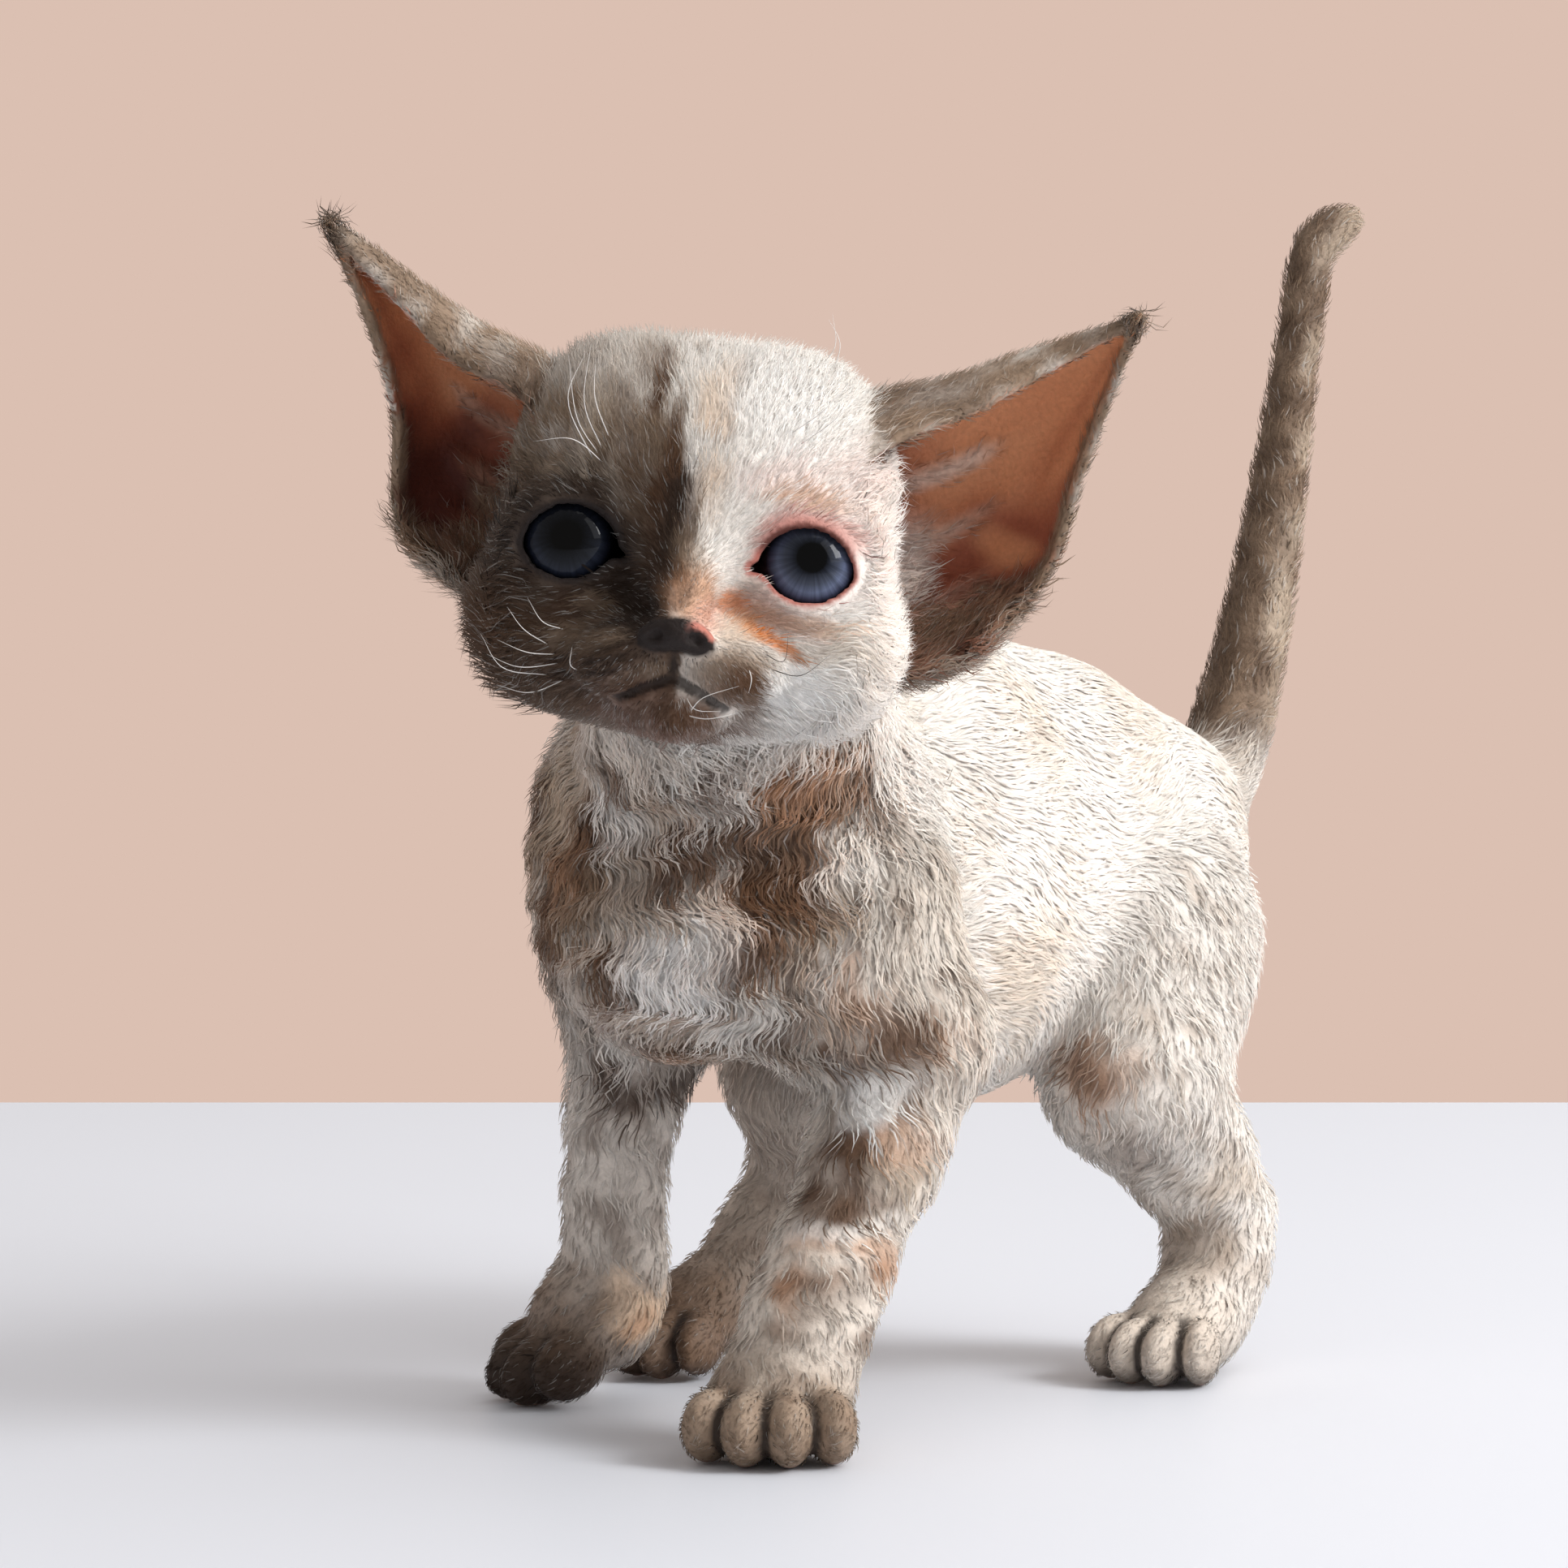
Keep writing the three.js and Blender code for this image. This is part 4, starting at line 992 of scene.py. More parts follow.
def tuft_points(coat, sections):
    """The tufts' corners, and the way that each is shaded."""
    q, normal, way = coat["root"] - coat["normal"] * ROOT_DEPTH, coat["normal"], coat["way"]
    length, width, wave = coat["length"], coat["width"], coat["wave"]
    rings, shading = [], []
    for k in range(sections + 1):
        t = k / sections
        if k:
            along = coat["along"] + t * length
            turn = turned(way, normal, wave * curl(along, coat["root"]) + coat["yaw"])
            step = (length / sections)[:, None]
            q = q + turn * step + coat["pull"] * ((2 * t - 1 / sections) / sections)
            crest = CREST_HEIGHT * wave / FULL_SWING * curl(along + WAVE_LENGTH / 4, coat["root"])
            rise = coat["rise"] * (1 - (1 - t) ** 1.7) * (1 + crest) + coat["lift"] * t * t
            q, normal = settle(q, rise, normal)
            way = unit(way - normal * (way * normal).sum(1, keepdims=True))
        side = np.cross(normal, way)
        if k == sections:
            rings.append(q[:, None])
            shading.append(normal[:, None])
            break
        thick = (width * (0.8 + 0.9 * t - 1.3 * t * t))[:, None]
        ring = [q + thick * (np.cos(a) * side + FLATNESS * np.sin(a) * normal) for a in SIDE_ANGLES]
        rings.append(np.stack(ring, 1))
        shading.append(np.stack([normal + SHADE_ROUND * np.cos(a) * side for a in SIDE_ANGLES], 1))
    points = np.concatenate(rings, 1)
    points[..., 2] += np.maximum(LOWEST_HAIR - points[..., 2].min(1), 0)[:, None]
    return points, unit(np.concatenate(shading, 1))


def grow(name, coat, sections):
    """Coat pieces of tufts. coat holds an array per quality, one entry for each tuft."""
    points, shading = tuft_points(coat, sections)
    faces = tuft_faces(sections)
    corners = np.arange(points.shape[1])
    per_piece = PIECE_TRIANGLES // len(faces)
    spread = np.stack([corners % 3 - 1.0, -1 + 2 * (corners // 3) / sections], 1)
    shade = np.linspace(ROOT_SHADE, TIP_SHADE, sections + 1)[corners // 3]
    for number, start in enumerate(range(0, len(points), per_piece), 1):
        part = slice(start, start + per_piece)
        at = points[part]
        index = (np.arange(len(at))[:, None, None] * len(corners) + faces[None]).reshape(-1, 3)
        piece = new_mesh(f"{name}_{number}", metres(at.reshape(-1, 3)), index)
        uv = (coat["uv"][part][:, None] + spread[None] * UV_PATCH / 2).reshape(-1, 2)
        layer = piece.data.uv_layers.new(name="OFBake")
        layer.data.foreach_set("uv", uv[index.reshape(-1)].astype(np.float32).ravel())
        tone = coat["colour"][part][:, None] * shade[None, :, None]
        set_colour(piece, tone.reshape(-1, 3))
        piece.data.normals_split_custom_set_from_vertices(shading[part].reshape(-1, 3))
        piece.data.materials.append(fur_material)
        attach(piece, "root")


def set_colour(obj, rgb):
    layer = obj.data.color_attributes.new("tone", "FLOAT_COLOR", "POINT")
    rgba = np.ones((len(rgb), 4), np.float32)
    rgba[:, :3] = np.clip(rgb, 0, 1)
    layer.data.foreach_set("color", rgba.ravel())


def node_tree(name):
    material = bpy.data.materials.new(name)
    material.use_nodes = True
    nodes, links = material.node_tree.nodes, material.node_tree.links
    return material, nodes, links, nodes["Principled BSDF"]


def set_inputs(node, **values):
    """Sets each input by its name, with _ where the name has a space."""
    for key, value in values.items():
        node.inputs[key.replace("_", " ")].default_value = value


def add_node(nodes, kind, **values):
    node = nodes.new(kind)
    for key, value in values.items():
        if key in node.inputs:
            node.inputs[key].default_value = value
        else:
            setattr(node, key, value)
    return node


def map_range(nodes, *values):
    """A node that maps the first two values to the last two."""
    node = nodes.new("ShaderNodeMapRange")
    for socket, value in zip(("From Min", "From Max", "To Min", "To Max"), values):
        node.inputs[socket].default_value = value
    return node


def wire(links, *joins):
    """Joins an output to an input: node, output, node, input."""
    for source, output, target, socket in joins:
        links.new(source.outputs[output], target.inputs[socket])


def tone_material(name, roughness, sheen, specular, bump_scale, bump, grain, subsurface=0.0):
    """A material that takes its markings from the surface, with a fine grain of its own."""
    material, nodes, links, shader = node_tree(name)
    shader.subsurface_method = "BURLEY"
    set_inputs(shader, Roughness=roughness, Specular_IOR_Level=specular)
    set_inputs(shader, Sheen_Weight=sheen, Sheen_Roughness=0.5)
    set_inputs(shader, Subsurface_Weight=subsurface, Subsurface_Scale=0.002, Subsurface_Radius=(1, 0.8, 0.7))
    tone = add_node(nodes, "ShaderNodeVertexColor", layer_name="tone")
    place = nodes.new("ShaderNodeTexCoord")
    speck = add_node(nodes, "ShaderNodeTexNoise", Scale=bump_scale, Detail=3.0)
    spread = map_range(nodes, 0, 1, 1 - grain, 1 + grain)
    mix = add_node(nodes, "ShaderNodeVectorMath", operation="SCALE")
    relief = add_node(nodes, "ShaderNodeBump", Strength=bump, Distance=0.0004)
    wire(links, (place, "Object", speck, "Vector"), (speck, "Fac", spread, "Value"), (tone, "Color", mix, 0),
         (spread, "Result", mix, "Scale"), (mix, "Vector", shader, "Base Color"),
         (speck, "Fac", relief, "Height"), (relief, "Normal", shader, "Normal"))
    return material


def speckled_material(name, tone, dark_share, scale, detail, roughness):
    """A plain material with darker specks."""
    material, nodes, links, shader = node_tree(name)
    speck = add_node(nodes, "ShaderNodeTexNoise", Scale=scale, Detail=detail)
    ramp = nodes.new("ShaderNodeValToRGB")
    ramp.color_ramp.elements[0].color = (*(tone * dark_share), 1)
    ramp.color_ramp.elements[1].color = (*tone, 1)
    wire(links, (speck, "Fac", ramp, "Fac"), (ramp, "Color", shader, "Base Color"))
    shader.inputs["Roughness"].default_value = roughness
    return material


fur_material = tone_material("fur", 0.7, 0.04, 0.12, 700, 0.1, 0.1, 0.45)
skin_material = tone_material("skin_short_coat", 0.6, 0.03, 0.25, 1500, 0.5, 0.22, 0.12)

set_colour(skin, colour)
skin.data.materials.append(skin_material)
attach(skin, "root")
FLESH = ["head", "neck", "torso", "tail_base", "tail_middle", "tail_tip", "ear_left", "ear_right"]
FLESH += [f"{part}_{place}" for part in ("leg", "paw") for place in LEGS]
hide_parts(*FLESH)

bpy.context.view_layer.objects.active = skin
skin.select_set(True)
bpy.ops.object.mode_set(mode="EDIT")
bpy.ops.mesh.select_all(action="SELECT")
bpy.ops.uv.smart_project(angle_limit=np.radians(66), island_margin=0.001)
bpy.ops.object.mode_set(mode="OBJECT")
skin.select_set(False)
skin.data.uv_layers[0].name = "OFBake"
skin_uv = np.zeros(len(skin.data.loops) * 2, np.float32)
skin.data.uv_layers[0].data.foreach_get("uv", skin_uv)
skin_uv = skin_uv.reshape(-1, 4, 2)

# Triangles to root tufts on, and the bare places
halves = ([0, 1, 2], [0, 2, 3])
tri_points = np.concatenate([skin_quads[:, c] for c in halves])
tri_uv = np.concatenate([skin_uv[:, c] for c in halves])
first, second, third = (PLACES[tri_points[:, i]] for i in range(3))
tri_area = np.linalg.norm(np.cross(second - first, third - first), axis=1) / 2
bare = np.maximum.reduce([nose_leather, smoothstep(0.9, 0.5, lips), head * smoothstep(1.5, 0.7, rim_left),
                          head * smoothstep(1.3, 0.6, rim_right), inside_ear * (1 - ear_furred),
                          smoothstep(1.4, 0.7, height)])
from_nose = np.linalg.norm(IN_HEAD - NOSE_TIP, axis=1)
eye_near = np.minimum(np.abs(rim_left), np.abs(rim_right))


def scatter(weight, count):
    """Roots spread by area and weight, with what the skin has there."""
    chance = tri_area * np.maximum(weight[tri_points].mean(1), 0)
    edges = np.cumsum(chance)
    face = np.searchsorted(edges, (np.arange(count) + rng.random(count)) / count * edges[-1])
    face = np.minimum(face, len(tri_points) - 1)
    a, b = rng.random((2, count))
    flip = a + b > 1
    a, b = np.where(flip, 1 - a, a), np.where(flip, 1 - b, b)
    share = np.stack([1 - a - b, a, b], 1)
    ids = tri_points[face]

    def at_roots(values):
        picked = values[ids]
        return (picked * (share if picked.ndim == 2 else share[..., None])).sum(1)

    return at_roots, (tri_uv[face] * share[..., None]).sum(1)


skin_tree = tree_of(PLACES)


def tone_near(root, way, reach):
    """The marking a little up or down the hair from each root, so that patches end in streaks."""
    q = root + way * (rng.uniform(-1, 1, len(root)) * reach)[:, None]
    return colour[[skin_tree.find(point)[1] for point in q]]


def clump(roots, size, strength):
    """Pulls each tuft to the middle of its lock, and gives its lock's own draw."""
    cells = np.floor(roots / size + noise(61, 7)(roots)[:, None] * 0.4).astype(int)
    _, member = np.unique(cells, axis=0, return_inverse=True)
    member = member.reshape(-1)
    many = np.bincount(member)
    middle = np.stack([np.bincount(member, roots[:, i]) for i in range(3)], 1) / many[:, None]
    return (middle[member] - roots) * strength, rng.random(len(many))[member]


def plant(name, slot, weight, count, length, width, rise, wave, sections, lock, frizz, lift, speckle):
    """Plants one kind of coat. The lengths, heights and swings may differ over the skin."""
    root_of, uv = scatter(weight * (1 - bare), count)

    def at_roots(value):
        return root_of(value * same)

    root, normal, way = root_of(PLACES), unit(root_of(NORMALS)), root_of(coat_way)
    way = unit(way - normal * (way * normal).sum(1, keepdims=True))
    pull, draw = clump(root, lock, LOCK_PULL)
    pull = pull - normal * (pull * normal).sum(1, keepdims=True)
    long = at_roots(length) * rng.uniform(0.7, 1.15, count)
    tone = tone_near(root, way, 0.5 * long)
    bright = (0.95 + 0.1 * draw) * rng.uniform(1 - speckle, 1 + speckle, count)
    tone = tone * bright[:, None]
    pale = (rng.random(count) < speckle)[:, None]
    tone = np.where(pale, tone * 0.72 + 0.2 * WHITE, tone)
    coat = {"root": root, "normal": normal, "way": way, "uv": uv}
    coat["colour"], coat["pull"], coat["length"] = tone, pull, long
    coat["width"] = width * rng.uniform(0.7, 1.2, count)
    coat["rise"] = at_roots(rise) * rng.uniform(0.55, 1.1, count)
    coat["wave"], coat["along"] = at_roots(wave), root_of(coat_along)
    coat["yaw"] = rng.normal(0, frizz, count) + (draw - 0.5) * LOCK_YAW
    coat["lift"] = at_roots(lift) * long * rng.random(count) ** 2.5
    grow(name, coat, sections)


same = np.ones(len(PLACES))
top_of_head = head * smoothstep(18, 26, IN_HEAD[:, 2])
face_length = 1.1 + 1.9 * smoothstep(4, 24, from_nose) - 0.6 * smoothstep(4, 0, eye_near) + 0.6 * top_of_head
face_rise = 0.2 + 0.6 * smoothstep(4, 26, from_nose) - 0.15 * smoothstep(4, 0, eye_near)
chest_curl = trunk * smoothstep(24, 2, PLACES[:, 1])
upper_leg = smoothstep(18, 55, height)
ear_base = smoothstep(0.45, 0.15, ear_along)
tall = IN_HEAD * [1, 1, 0.55]
beside_ear = spot(tall, [25.5, 3, 1.1], [5, 8, 7]) + 0.7 * spot(tall, [-25.5, 3, -1], [5, 8, 7])
beside_ear = beside_ear * SHARE["head"]
outward = np.abs(IN_HEAD[:, 0])
under_ear = smoothstep(-4, -10, IN_HEAD[:, 2]) * smoothstep(16, 22, outward) * SHARE["head"]
ear_lobe = ear * smoothstep(3, -3, IN_HEAD[:, 2]) * smoothstep(27, 33, outward)
ear_tip = ear * smoothstep(0.9, 0.97, ear_along)
# Each kind of coat: name, slot, where it grows, number of tufts, length, half width, height over the skin,
# swing of its wave in degrees, sections, size of its locks, frizz in degrees, lift of the tips, share of pale
COATS = [
    ("coat_head", "coat_tabby", head * (1 + smoothstep(22, 8, from_nose)), 41000,
     face_length, 0.085, face_rise, 9, 2, 0.8, 10, 0.16 + 0.4 * top_of_head, 0.13),
    ("coat_fluff", "coat_tabby", beside_ear + 0.4 * under_ear, 5700,
     5.5, 0.1, 2.4, 45, 3, 1.5, 26, 0.35, 0.1),
    ("coat_ear", "coat_tabby", ear * (1 + 0.6 * ear_inner), 12500,
     2 + 1.8 * ear_base, 0.11, 0.5 + 0.6 * ear_base, 30, 2, 1.2, 24, 0.3, 0.1),
    ("coat_lobe", "coat_tabby", ear_lobe, 3000, 5, 0.11, 1.5, 45, 3, 1.5, 24, 0.35, 0.1),
    ("coat_ear_tip", "coat_tabby", ear_tip, 260, 5, 0.1, 0.9, 50, 3, 1.4, 26, 0.3, 0.1),
    ("coat_flank", "coat_cream", trunk * (1 - 0.9 * chest_curl), 27000,
     5, 0.22, 0.7, 8, 2, 2.4, 9, 0.04, 0.04),
    ("coat_chest", "coat_cream", trunk * chest_curl, 12500, 6, 0.19, 1.7, 55, 3, 3.2, 16, 0.16, 0.06),
    ("coat_leg", "coat_tabby", leg, 13000,
     2.6 + 2.2 * upper_leg, 0.17, 0.6 + 0.6 * upper_leg, 26, 3, 1.8, 13, 0.1, 0.08),
    ("coat_tail", "coat_dark", SHARE["tail"], 4400, 2.4, 0.14, 0.8, 26, 3, 1.6, 14, 0.12, 0.1),
    ("coat_paw", "coat_dark", paw * (1 - 0.85 * toe_gap), 7000, 1.9, 0.1, 0.42, 10, 2, 1.0, 12, 0.12, 0.2),
]
for kind in COATS:
    plant(*kind)


# Eyes: a wet ball with a slate-blue iris round a dark pupil

# The iris from the middle of the pupil outward
IRIS_STOPS = (
    (0.0, (1, 1, 2)), (0.25, (1, 2, 3)), (0.34, (34, 38, 48)), (0.46, (58, 63, 76)), (0.58, (80, 88, 110)),
    (0.67, (56, 62, 82)), (0.76, (14, 15, 22)), (0.86, (8, 6, 7)), (1.0, (70, 38, 36)),
)


def iris_ramp(nodes):
    ramp = nodes.new("ShaderNodeValToRGB")
    elements = ramp.color_ramp.elements
    elements[0].color = (*tint(*IRIS_STOPS[0][1]), 1)
    elements[1].color = (*tint(*IRIS_STOPS[-1][1]), 1)
    for at, rgb in IRIS_STOPS[1:-1]:
        elements.new(at).color = (*tint(*rgb), 1)
    return ramp


def eye_material(name, light):
    """A slate iris round a black pupil, its brightness scaled as given, which paints shade on an eye in
    shadow, with painted lid shadow: darker at the top and lighter at the bottom.
    """
    material, nodes, links, shader = node_tree(name)
    place = nodes.new("ShaderNodeTexCoord")
    split = nodes.new("ShaderNodeSeparateXYZ")
    flat = nodes.new("ShaderNodeCombineXYZ")
    radius = add_node(nodes, "ShaderNodeVectorMath", operation="LENGTH")
    scaled = add_node(nodes, "ShaderNodeMath", operation="MULTIPLY")
    scaled.inputs[1].default_value = 1000 / EYE_RADIUS
    direction = add_node(nodes, "ShaderNodeVectorMath", operation="NORMALIZE")
    fibres = add_node(nodes, "ShaderNodeTexNoise", Scale=9.0, Detail=4.0, Roughness=0.6)
    ramp = iris_ramp(nodes)
    spread = map_range(nodes, 0.25, 0.75, 0.6 * light, 1.4 * light)
    painted_lid_shade = map_range(nodes, -0.0045, 0.004, 1.3, 0.45)
    shaded = add_node(nodes, "ShaderNodeMath", operation="MULTIPLY")
    mix = add_node(nodes, "ShaderNodeVectorMath", operation="SCALE")
    wire(links, (place, "Object", split, 0), (split, "X", flat, "X"), (split, "Z", flat, "Z"),
         (flat, 0, radius, 0), (radius, "Value", scaled, 0), (scaled, 0, ramp, "Fac"),
         (flat, 0, direction, 0), (direction, 0, fibres, "Vector"), (fibres, "Fac", spread, "Value"),
         (split, "Z", painted_lid_shade, "Value"), (painted_lid_shade, "Result", shaded, 0), (spread, "Result", shaded, 1),
         (ramp, "Color", mix, 0), (shaded, 0, mix, "Scale"), (mix, "Vector", shader, "Base Color"))
    set_inputs(shader, Roughness=0.6, Specular_IOR_Level=0.0)
    set_inputs(shader, Coat_Weight=0.45, Coat_Roughness=0.03, Coat_IOR=1.38)
    return material


def eyeball(name, side, gaze, material):
    """A ball turned to where it looks, its cornea a little fuller than the rest."""
    rows, columns = 48, 64
    angle = np.linspace(0, np.pi, rows + 1)[1:-1]
    turn = np.linspace(0, 2 * np.pi, columns, endpoint=False)
    radius = EYE_RADIUS - 0.08 + 0.12 * np.exp(-(angle / 0.7) ** 4)
    ring = np.stack([np.sin(angle)[:, None] * np.cos(turn), -np.cos(angle)[:, None] * np.ones(columns),
                     np.sin(angle)[:, None] * np.sin(turn)], -1) * radius[:, None, None]
    poles = [[0, -EYE_RADIUS - 0.04, 0], [0, EYE_RADIUS - 0.08, 0]]
    points = np.concatenate([ring.reshape(-1, 3), poles]) / 1000
    i, j = np.meshgrid(np.arange(rows - 2), np.arange(columns), indexing="ij")
    a, b = i * columns + j, i * columns + (j + 1) % columns
    quads = np.stack([a, a + columns, b + columns, b], -1).reshape(-1, 4)
    j = np.arange(columns)
    front = np.stack([j, (j + 1) % columns, np.full(columns, len(points) - 2)], 1)
    start = (rows - 2) * columns
    back = np.stack([start + (j + 1) % columns, start + j, np.full(columns, len(points) - 1)], 1)
    mesh = bpy.data.meshes.new(name)
    mesh.from_pydata(points.tolist(), [], quads.tolist() + front.tolist() + back.tolist())
    mesh.polygons.foreach_set("use_smooth", [True] * len(mesh.polygons))
    obj = bpy.data.objects.new(name, mesh)
    bpy.context.scene.collection.objects.link(obj)
    obj.location = metres(from_head([side * EYE_HALF_SPACING, 0, 0]))
    look = Vector(HEAD_TURN @ np.array(gaze, float))
    obj.rotation_euler = look.to_track_quat("-Y", "Z").to_euler()
    mesh.materials.append(material)
    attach(obj, "root")
    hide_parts(name.replace("ball", ""))


# The right eye's iris is painted far darker, as painted shade: that eye is on the shaded side of the face.
eyeball("eyeball_left", LEFT, [0.08, -1, 0.17], eye_material("eye_slate", 1.0))
eyeball("eyeball_right", RIGHT, [-0.05, -1, 0.1], eye_material("eye_slate_painted_shade", 0.17))


# Whiskers and brow hairs: start, middle and end seen from the front of the head, and how far out they stand

def front_of_head(x, z):
    """How far back the skin is at a place on the front of the head."""
    y = np.arange(-26, 22, 0.2)
    value, _ = sample(from_head(np.stack([np.full(len(y), x), y, np.full(len(y), z)], 1)))
    return y[np.argmax(value < 0)]


def strand(stops, thick, segments=14, sides=5):
    """A tapered hair along a curve, closed at both ends."""
    path = curve_points(stops, np.linspace(0, 1, segments + 1))
    along = unit(np.gradient(path, axis=0))
    side = unit(np.cross(along, [0.3, 1, 0.2]))
    up = np.cross(side, along)
    radius = thick * (1 - np.linspace(0, 1, segments + 1) ** 1.5 * 0.85)
    turn = np.linspace(0, 2 * np.pi, sides, endpoint=False)
    rings = path[:, None] + radius[:, None, None] * (np.cos(turn)[None, :, None] * side[:, None]
                                                     + np.sin(turn)[None, :, None] * up[:, None])
    points = np.concatenate([rings.reshape(-1, 3), path[[0, -1]]])
    faces = []
    for k in range(segments):
        for j in range(sides):
            a, b = k * sides + j, k * sides + (j + 1) % sides
            faces += [[a, b, b + sides], [a, b + sides, a + sides]]
    top = segments * sides
    for j in range(sides):
        faces += [[j, len(points) - 2, (j + 1) % sides], [top + j, top + (j + 1) % sides, len(points) - 1]]
    return points, np.array(faces)


WHISKERS = [
    ((-16.5, -13.7), (-20.2, -11.8), (-22.6, -9.2), 3), ((-14.7, -11.4), (-17.8, -10.6), (-20, -7.8), 3),
    ((-15.5, -14.6), (-19.5, -14.8), (-23.4, -13.6), 4), ((-16.5, -17.4), (-22.6, -17), (-25.8, -13), 4),
    ((-14.2, -17.6), (-18.8, -20), (-23, -19.4), 4), ((-14.8, -15.6), (-20.4, -16.8), (-24.6, -15.6), 3),
    ((-12.2, -16.6), (-13.4, -15.8), (-13.4, -13.6), 2), ((2.4, -20.6), (4.2, -18.4), (8.6, -16.4), 2.5),
    ((2, -20.8), (5.2, -21), (9, -19.8), 2.5), ((1.6, -18), (3.4, -20), (6.6, -19.9), 2),
    ((15.2, -15.6), (19.6, -16.2), (22.8, -18.6), 3), ((14.6, -17), (18.4, -19.6), (22, -19.6), 3),
    ((13.2, -18.4), (16.6, -21.4), (20.4, -22), 3), ((14, -16.4), (18.6, -18.2), (22.4, -18.4), 4),
    ((9.6, -14), (10.2, -15.6), (10, -17.2), 2), ((-13.5, 10.8), (-17.4, 18.4), (-15.8, 24.6), 5),
    ((-12.4, 12.2), (-15.2, 18), (-15.2, 25.6), 5), ((-11.6, 13.6), (-14, 19), (-14.4, 23.6), 4),
    ((-12.8, 11.6), (-16, 16), (-18, 24), 4), ((-12, 10.6), (-16.4, 13.2), (-21.4, 12.4), 4),
    ((14, 27), (15.8, 30), (15, 34.2), 0.5), ((11.4, 17), (15.8, 20.6), (19.8, 26.4), 2.5),
    ((12.6, 15.6), (16.8, 19), (21.4, 24.6), 2), ((15.8, 26.4), (16.4, 30.4), (14.6, 33.4), 0.5),
]
DARK_HAIRS = [((10.8, -11.6), (14, -12.6), (14.2, -8.8), 2), ((12.4, -13.8), (16.4, -14.2), (20, -11), 2),
              ((5.8, -8.6), (7.6, -9.6), (9.4, -8.6), 1.4), ((5.2, -7), (7, -8.8), (7.6, -11), 1.2)]


def hair_set(name, hairs, tone, thick):
    """A piece of many hairs, each a tapered strand from the skin forward."""
    points, faces, total = [], [], 0
    for start, middle, end, forward in hairs:
        y = front_of_head(*start)
        stops = [[start[0], y + 0.6, start[1]], [middle[0], y - forward, middle[1]],
                 [end[0], y - forward * 0.8, end[1]]]
        p, f = strand(from_head(stops), thick)
        points.append(p)
        faces.append(f + total)
        total += len(p)
    obj = new_mesh(name, metres(np.concatenate(points)), np.concatenate(faces))
    obj.data.materials.append(speckled_material(name, tone, 0.75, 900.0, 2.0, 0.4))
    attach(obj, "root")


hair_set("whiskers", WHISKERS, WHITE, 0.075)
hair_set("dark_whiskers", DARK_HAIRS, DARK, 0.07)


# The studio: a white table, a warm wall of light round it, and a large window to the camera's right

CAMERA_PLACE = np.array([478.2, -647.2, 139])
CAMERA_YAW = 36
CAMERA_PITCH = 3.387
SENSOR_WIDTH = 36
FOCAL_PIXELS = 7030
PHOTO_PIXELS = 1932
TABLE_BEFORE = 760
TABLE_BEHIND = 400
TABLE_HALF_WIDTH = 1500
TABLE_THICKNESS = 30
LIT_PLACE = np.array([15, 0, 90])
camera_back = turn_about("Z", CAMERA_YAW) @ [0, 1, 0]
camera_right = turn_about("Z", CAMERA_YAW) @ [1, 0, 0]


def table():
    corners = ((-1, -TABLE_BEFORE), (1, -TABLE_BEFORE), (1, TABLE_BEHIND), (-1, TABLE_BEHIND))
    top = np.array([camera_right * side * TABLE_HALF_WIDTH + camera_back * depth for side, depth in corners])
    points = np.concatenate([top, top - [0, 0, TABLE_THICKNESS]])
    faces = np.array([[0, 1, 2, 3], [7, 6, 5, 4], [0, 4, 5, 1], [1, 5, 6, 2], [2, 6, 7, 3], [3, 7, 4, 0]])
    obj = new_mesh("table_top", metres(points), faces, smooth=False)
    obj.data.materials.append(speckled_material("white_table", TABLE_WHITE, 0.97, 6.0, 5.0, 0.5))


def lamp(name, place, size, power, tone):
    """A rectangular lamp turned to the kitten."""
    data = bpy.data.lights.new(name, "AREA")
    data.shape, data.size, data.size_y = "RECTANGLE", size[0], size[1]
    data.energy, data.color = power, tone
    obj = bpy.data.objects.new(name, data)
    obj.location = metres(place)
    aim = LIT_PLACE - place
    obj.rotation_euler = Vector(aim).to_track_quat("-Z", "Y").to_euler()
    bpy.context.scene.collection.objects.link(obj)


def from_camera_side(azimuth, elevation, distance):
    """A place seen from the kitten, so many degrees round from the camera to its right, and up."""
    a, e = np.radians(azimuth), np.radians(elevation)
    flat = -camera_back * np.cos(a) + camera_right * np.sin(a)
    return LIT_PLACE + distance * (flat * np.cos(e) + np.array([0, 0, np.sin(e)]))


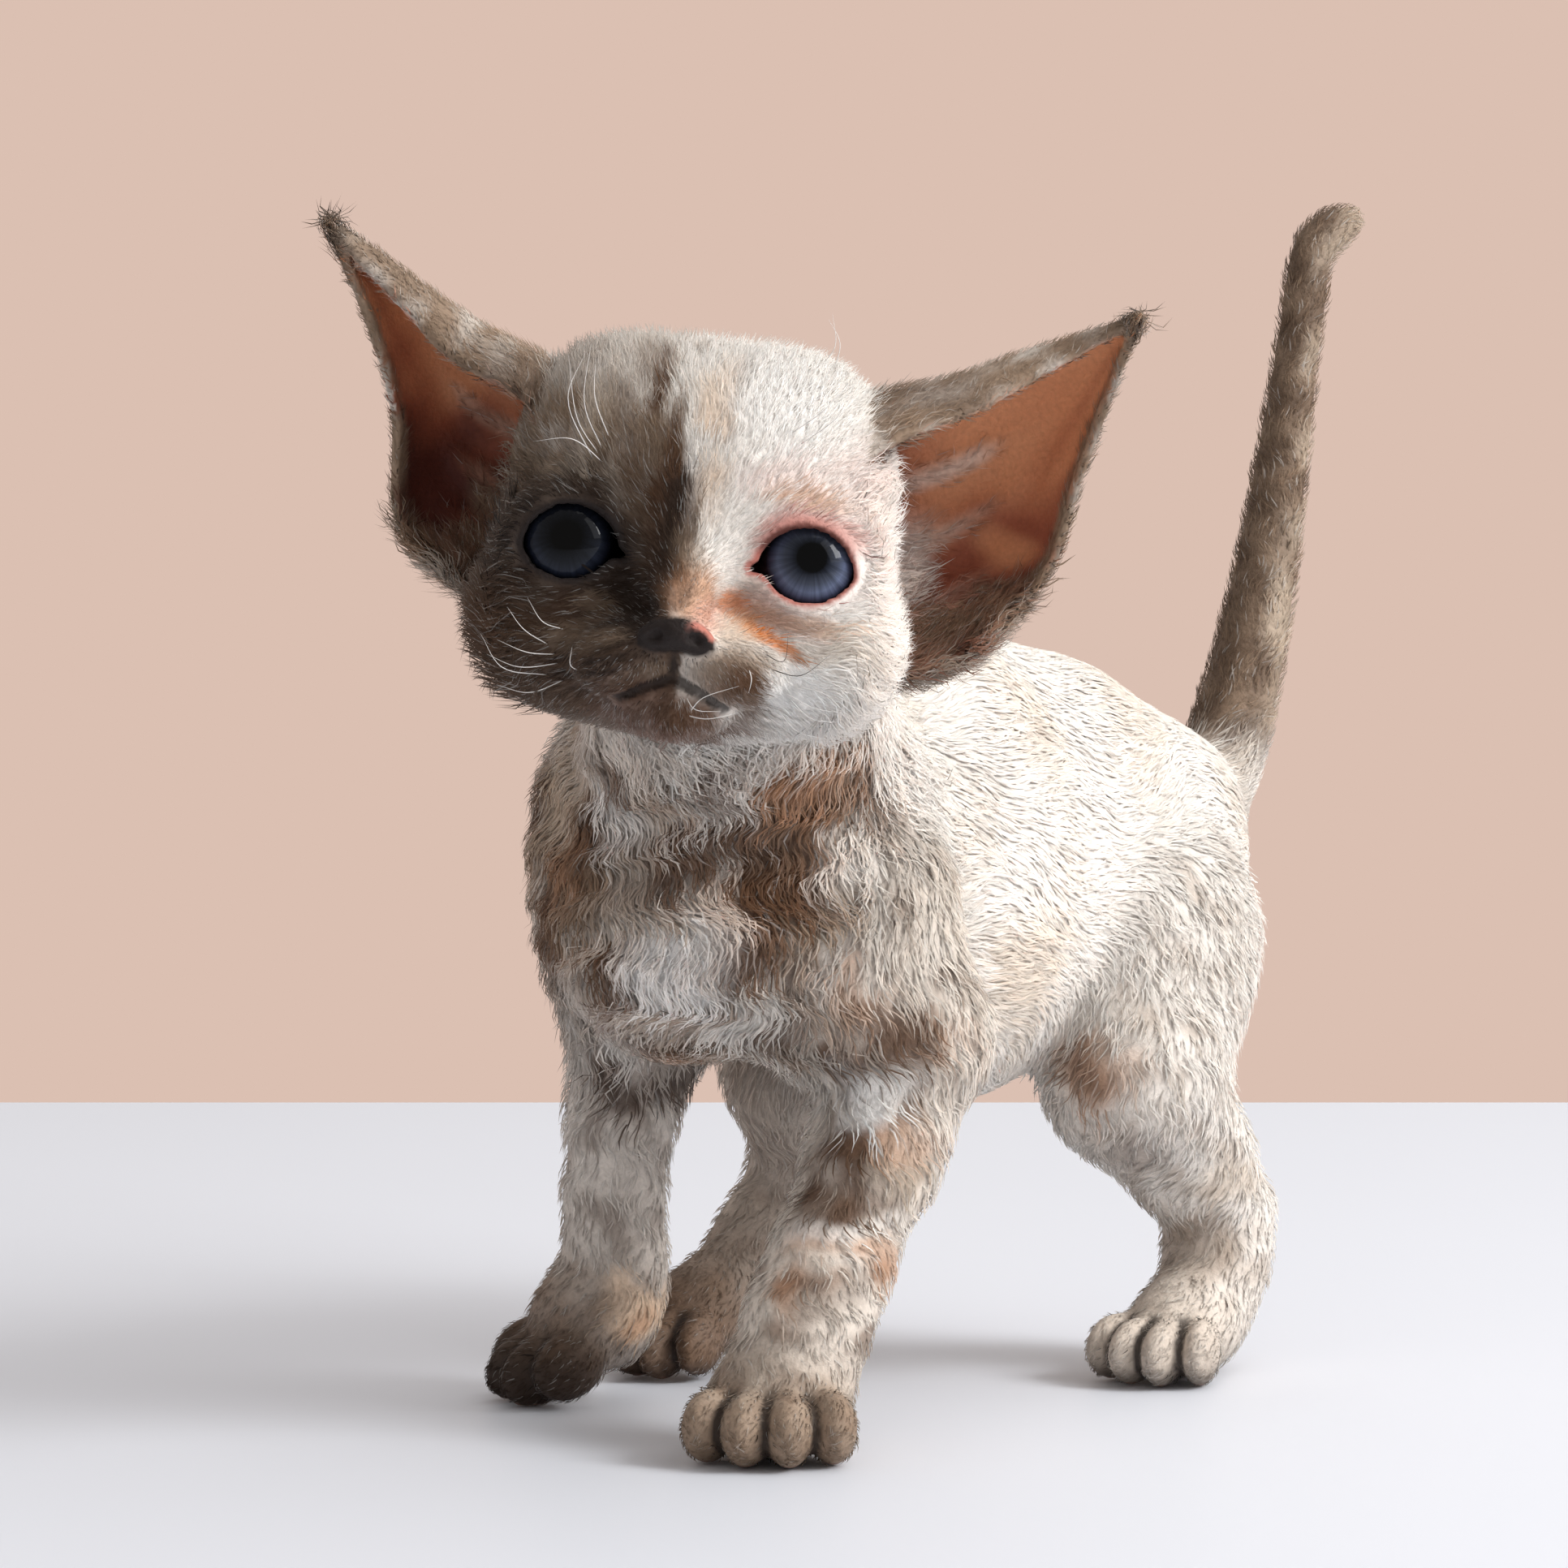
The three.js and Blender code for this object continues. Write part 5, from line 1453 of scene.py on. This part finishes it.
table()
lamp("window", from_camera_side(68, 34, 1500), (1.2, 1.2), 6.2, (1, 1, 1))
lamp("window_pane", from_camera_side(70, 31, 1450), (0.5, 0.62), 14.5, (1, 1, 1))
lamp("overhead", from_camera_side(120, 66, 1500), (1.6, 1.6), 7, (1, 0.99, 0.98))


def warm_wall():
    """Even light all round, a little brighter and warmer low down behind the kitten."""
    world = bpy.data.worlds.new("warm_wall")
    bpy.context.scene.world = world
    world.use_nodes = True
    nodes, links = world.node_tree.nodes, world.node_tree.links
    place = nodes.new("ShaderNodeTexCoord")
    split = nodes.new("ShaderNodeSeparateXYZ")
    behind = add_node(nodes, "ShaderNodeVectorMath", operation="DOT_PRODUCT")
    behind.inputs[1].default_value = camera_back
    low = map_range(nodes, 0.1, 0.5, 1.0, 0.0)
    facing = map_range(nodes, 0.1, 0.6, 0.0, 1.0)
    share = add_node(nodes, "ShaderNodeMath", operation="MULTIPLY")
    power = map_range(nodes, 0.0, 1.0, 0.56, 1.0)
    tone = nodes.new("ShaderNodeValToRGB")
    for element, colour_at in zip(tone.color_ramp.elements, (ROOM_TONE, WALL_TONE)):
        element.color = (*colour_at, 1)
    wall = nodes["Background"]
    wire(links, (place, "Generated", split, 0), (place, "Generated", behind, 0), (split, "Z", low, "Value"),
         (behind, "Value", facing, "Value"), (low, "Result", share, 0), (facing, "Result", share, 1),
         (share, 0, power, "Value"), (share, 0, tone, "Fac"), (power, "Result", wall, "Strength"),
         (tone, "Color", wall, "Color"))


def photo_camera():
    data = bpy.data.cameras.new("camera")
    data.lens = SENSOR_WIDTH * FOCAL_PIXELS / PHOTO_PIXELS
    data.sensor_width = SENSOR_WIDTH
    data.clip_end = 10
    camera = bpy.data.objects.new("camera", data)
    camera.location = metres(CAMERA_PLACE)
    camera.rotation_euler = (np.radians(90 - CAMERA_PITCH), 0, np.radians(CAMERA_YAW))
    bpy.context.scene.collection.objects.link(camera)
    bpy.context.scene.camera = camera


warm_wall()
photo_camera()
bpy.context.scene.view_settings.view_transform = "Standard"
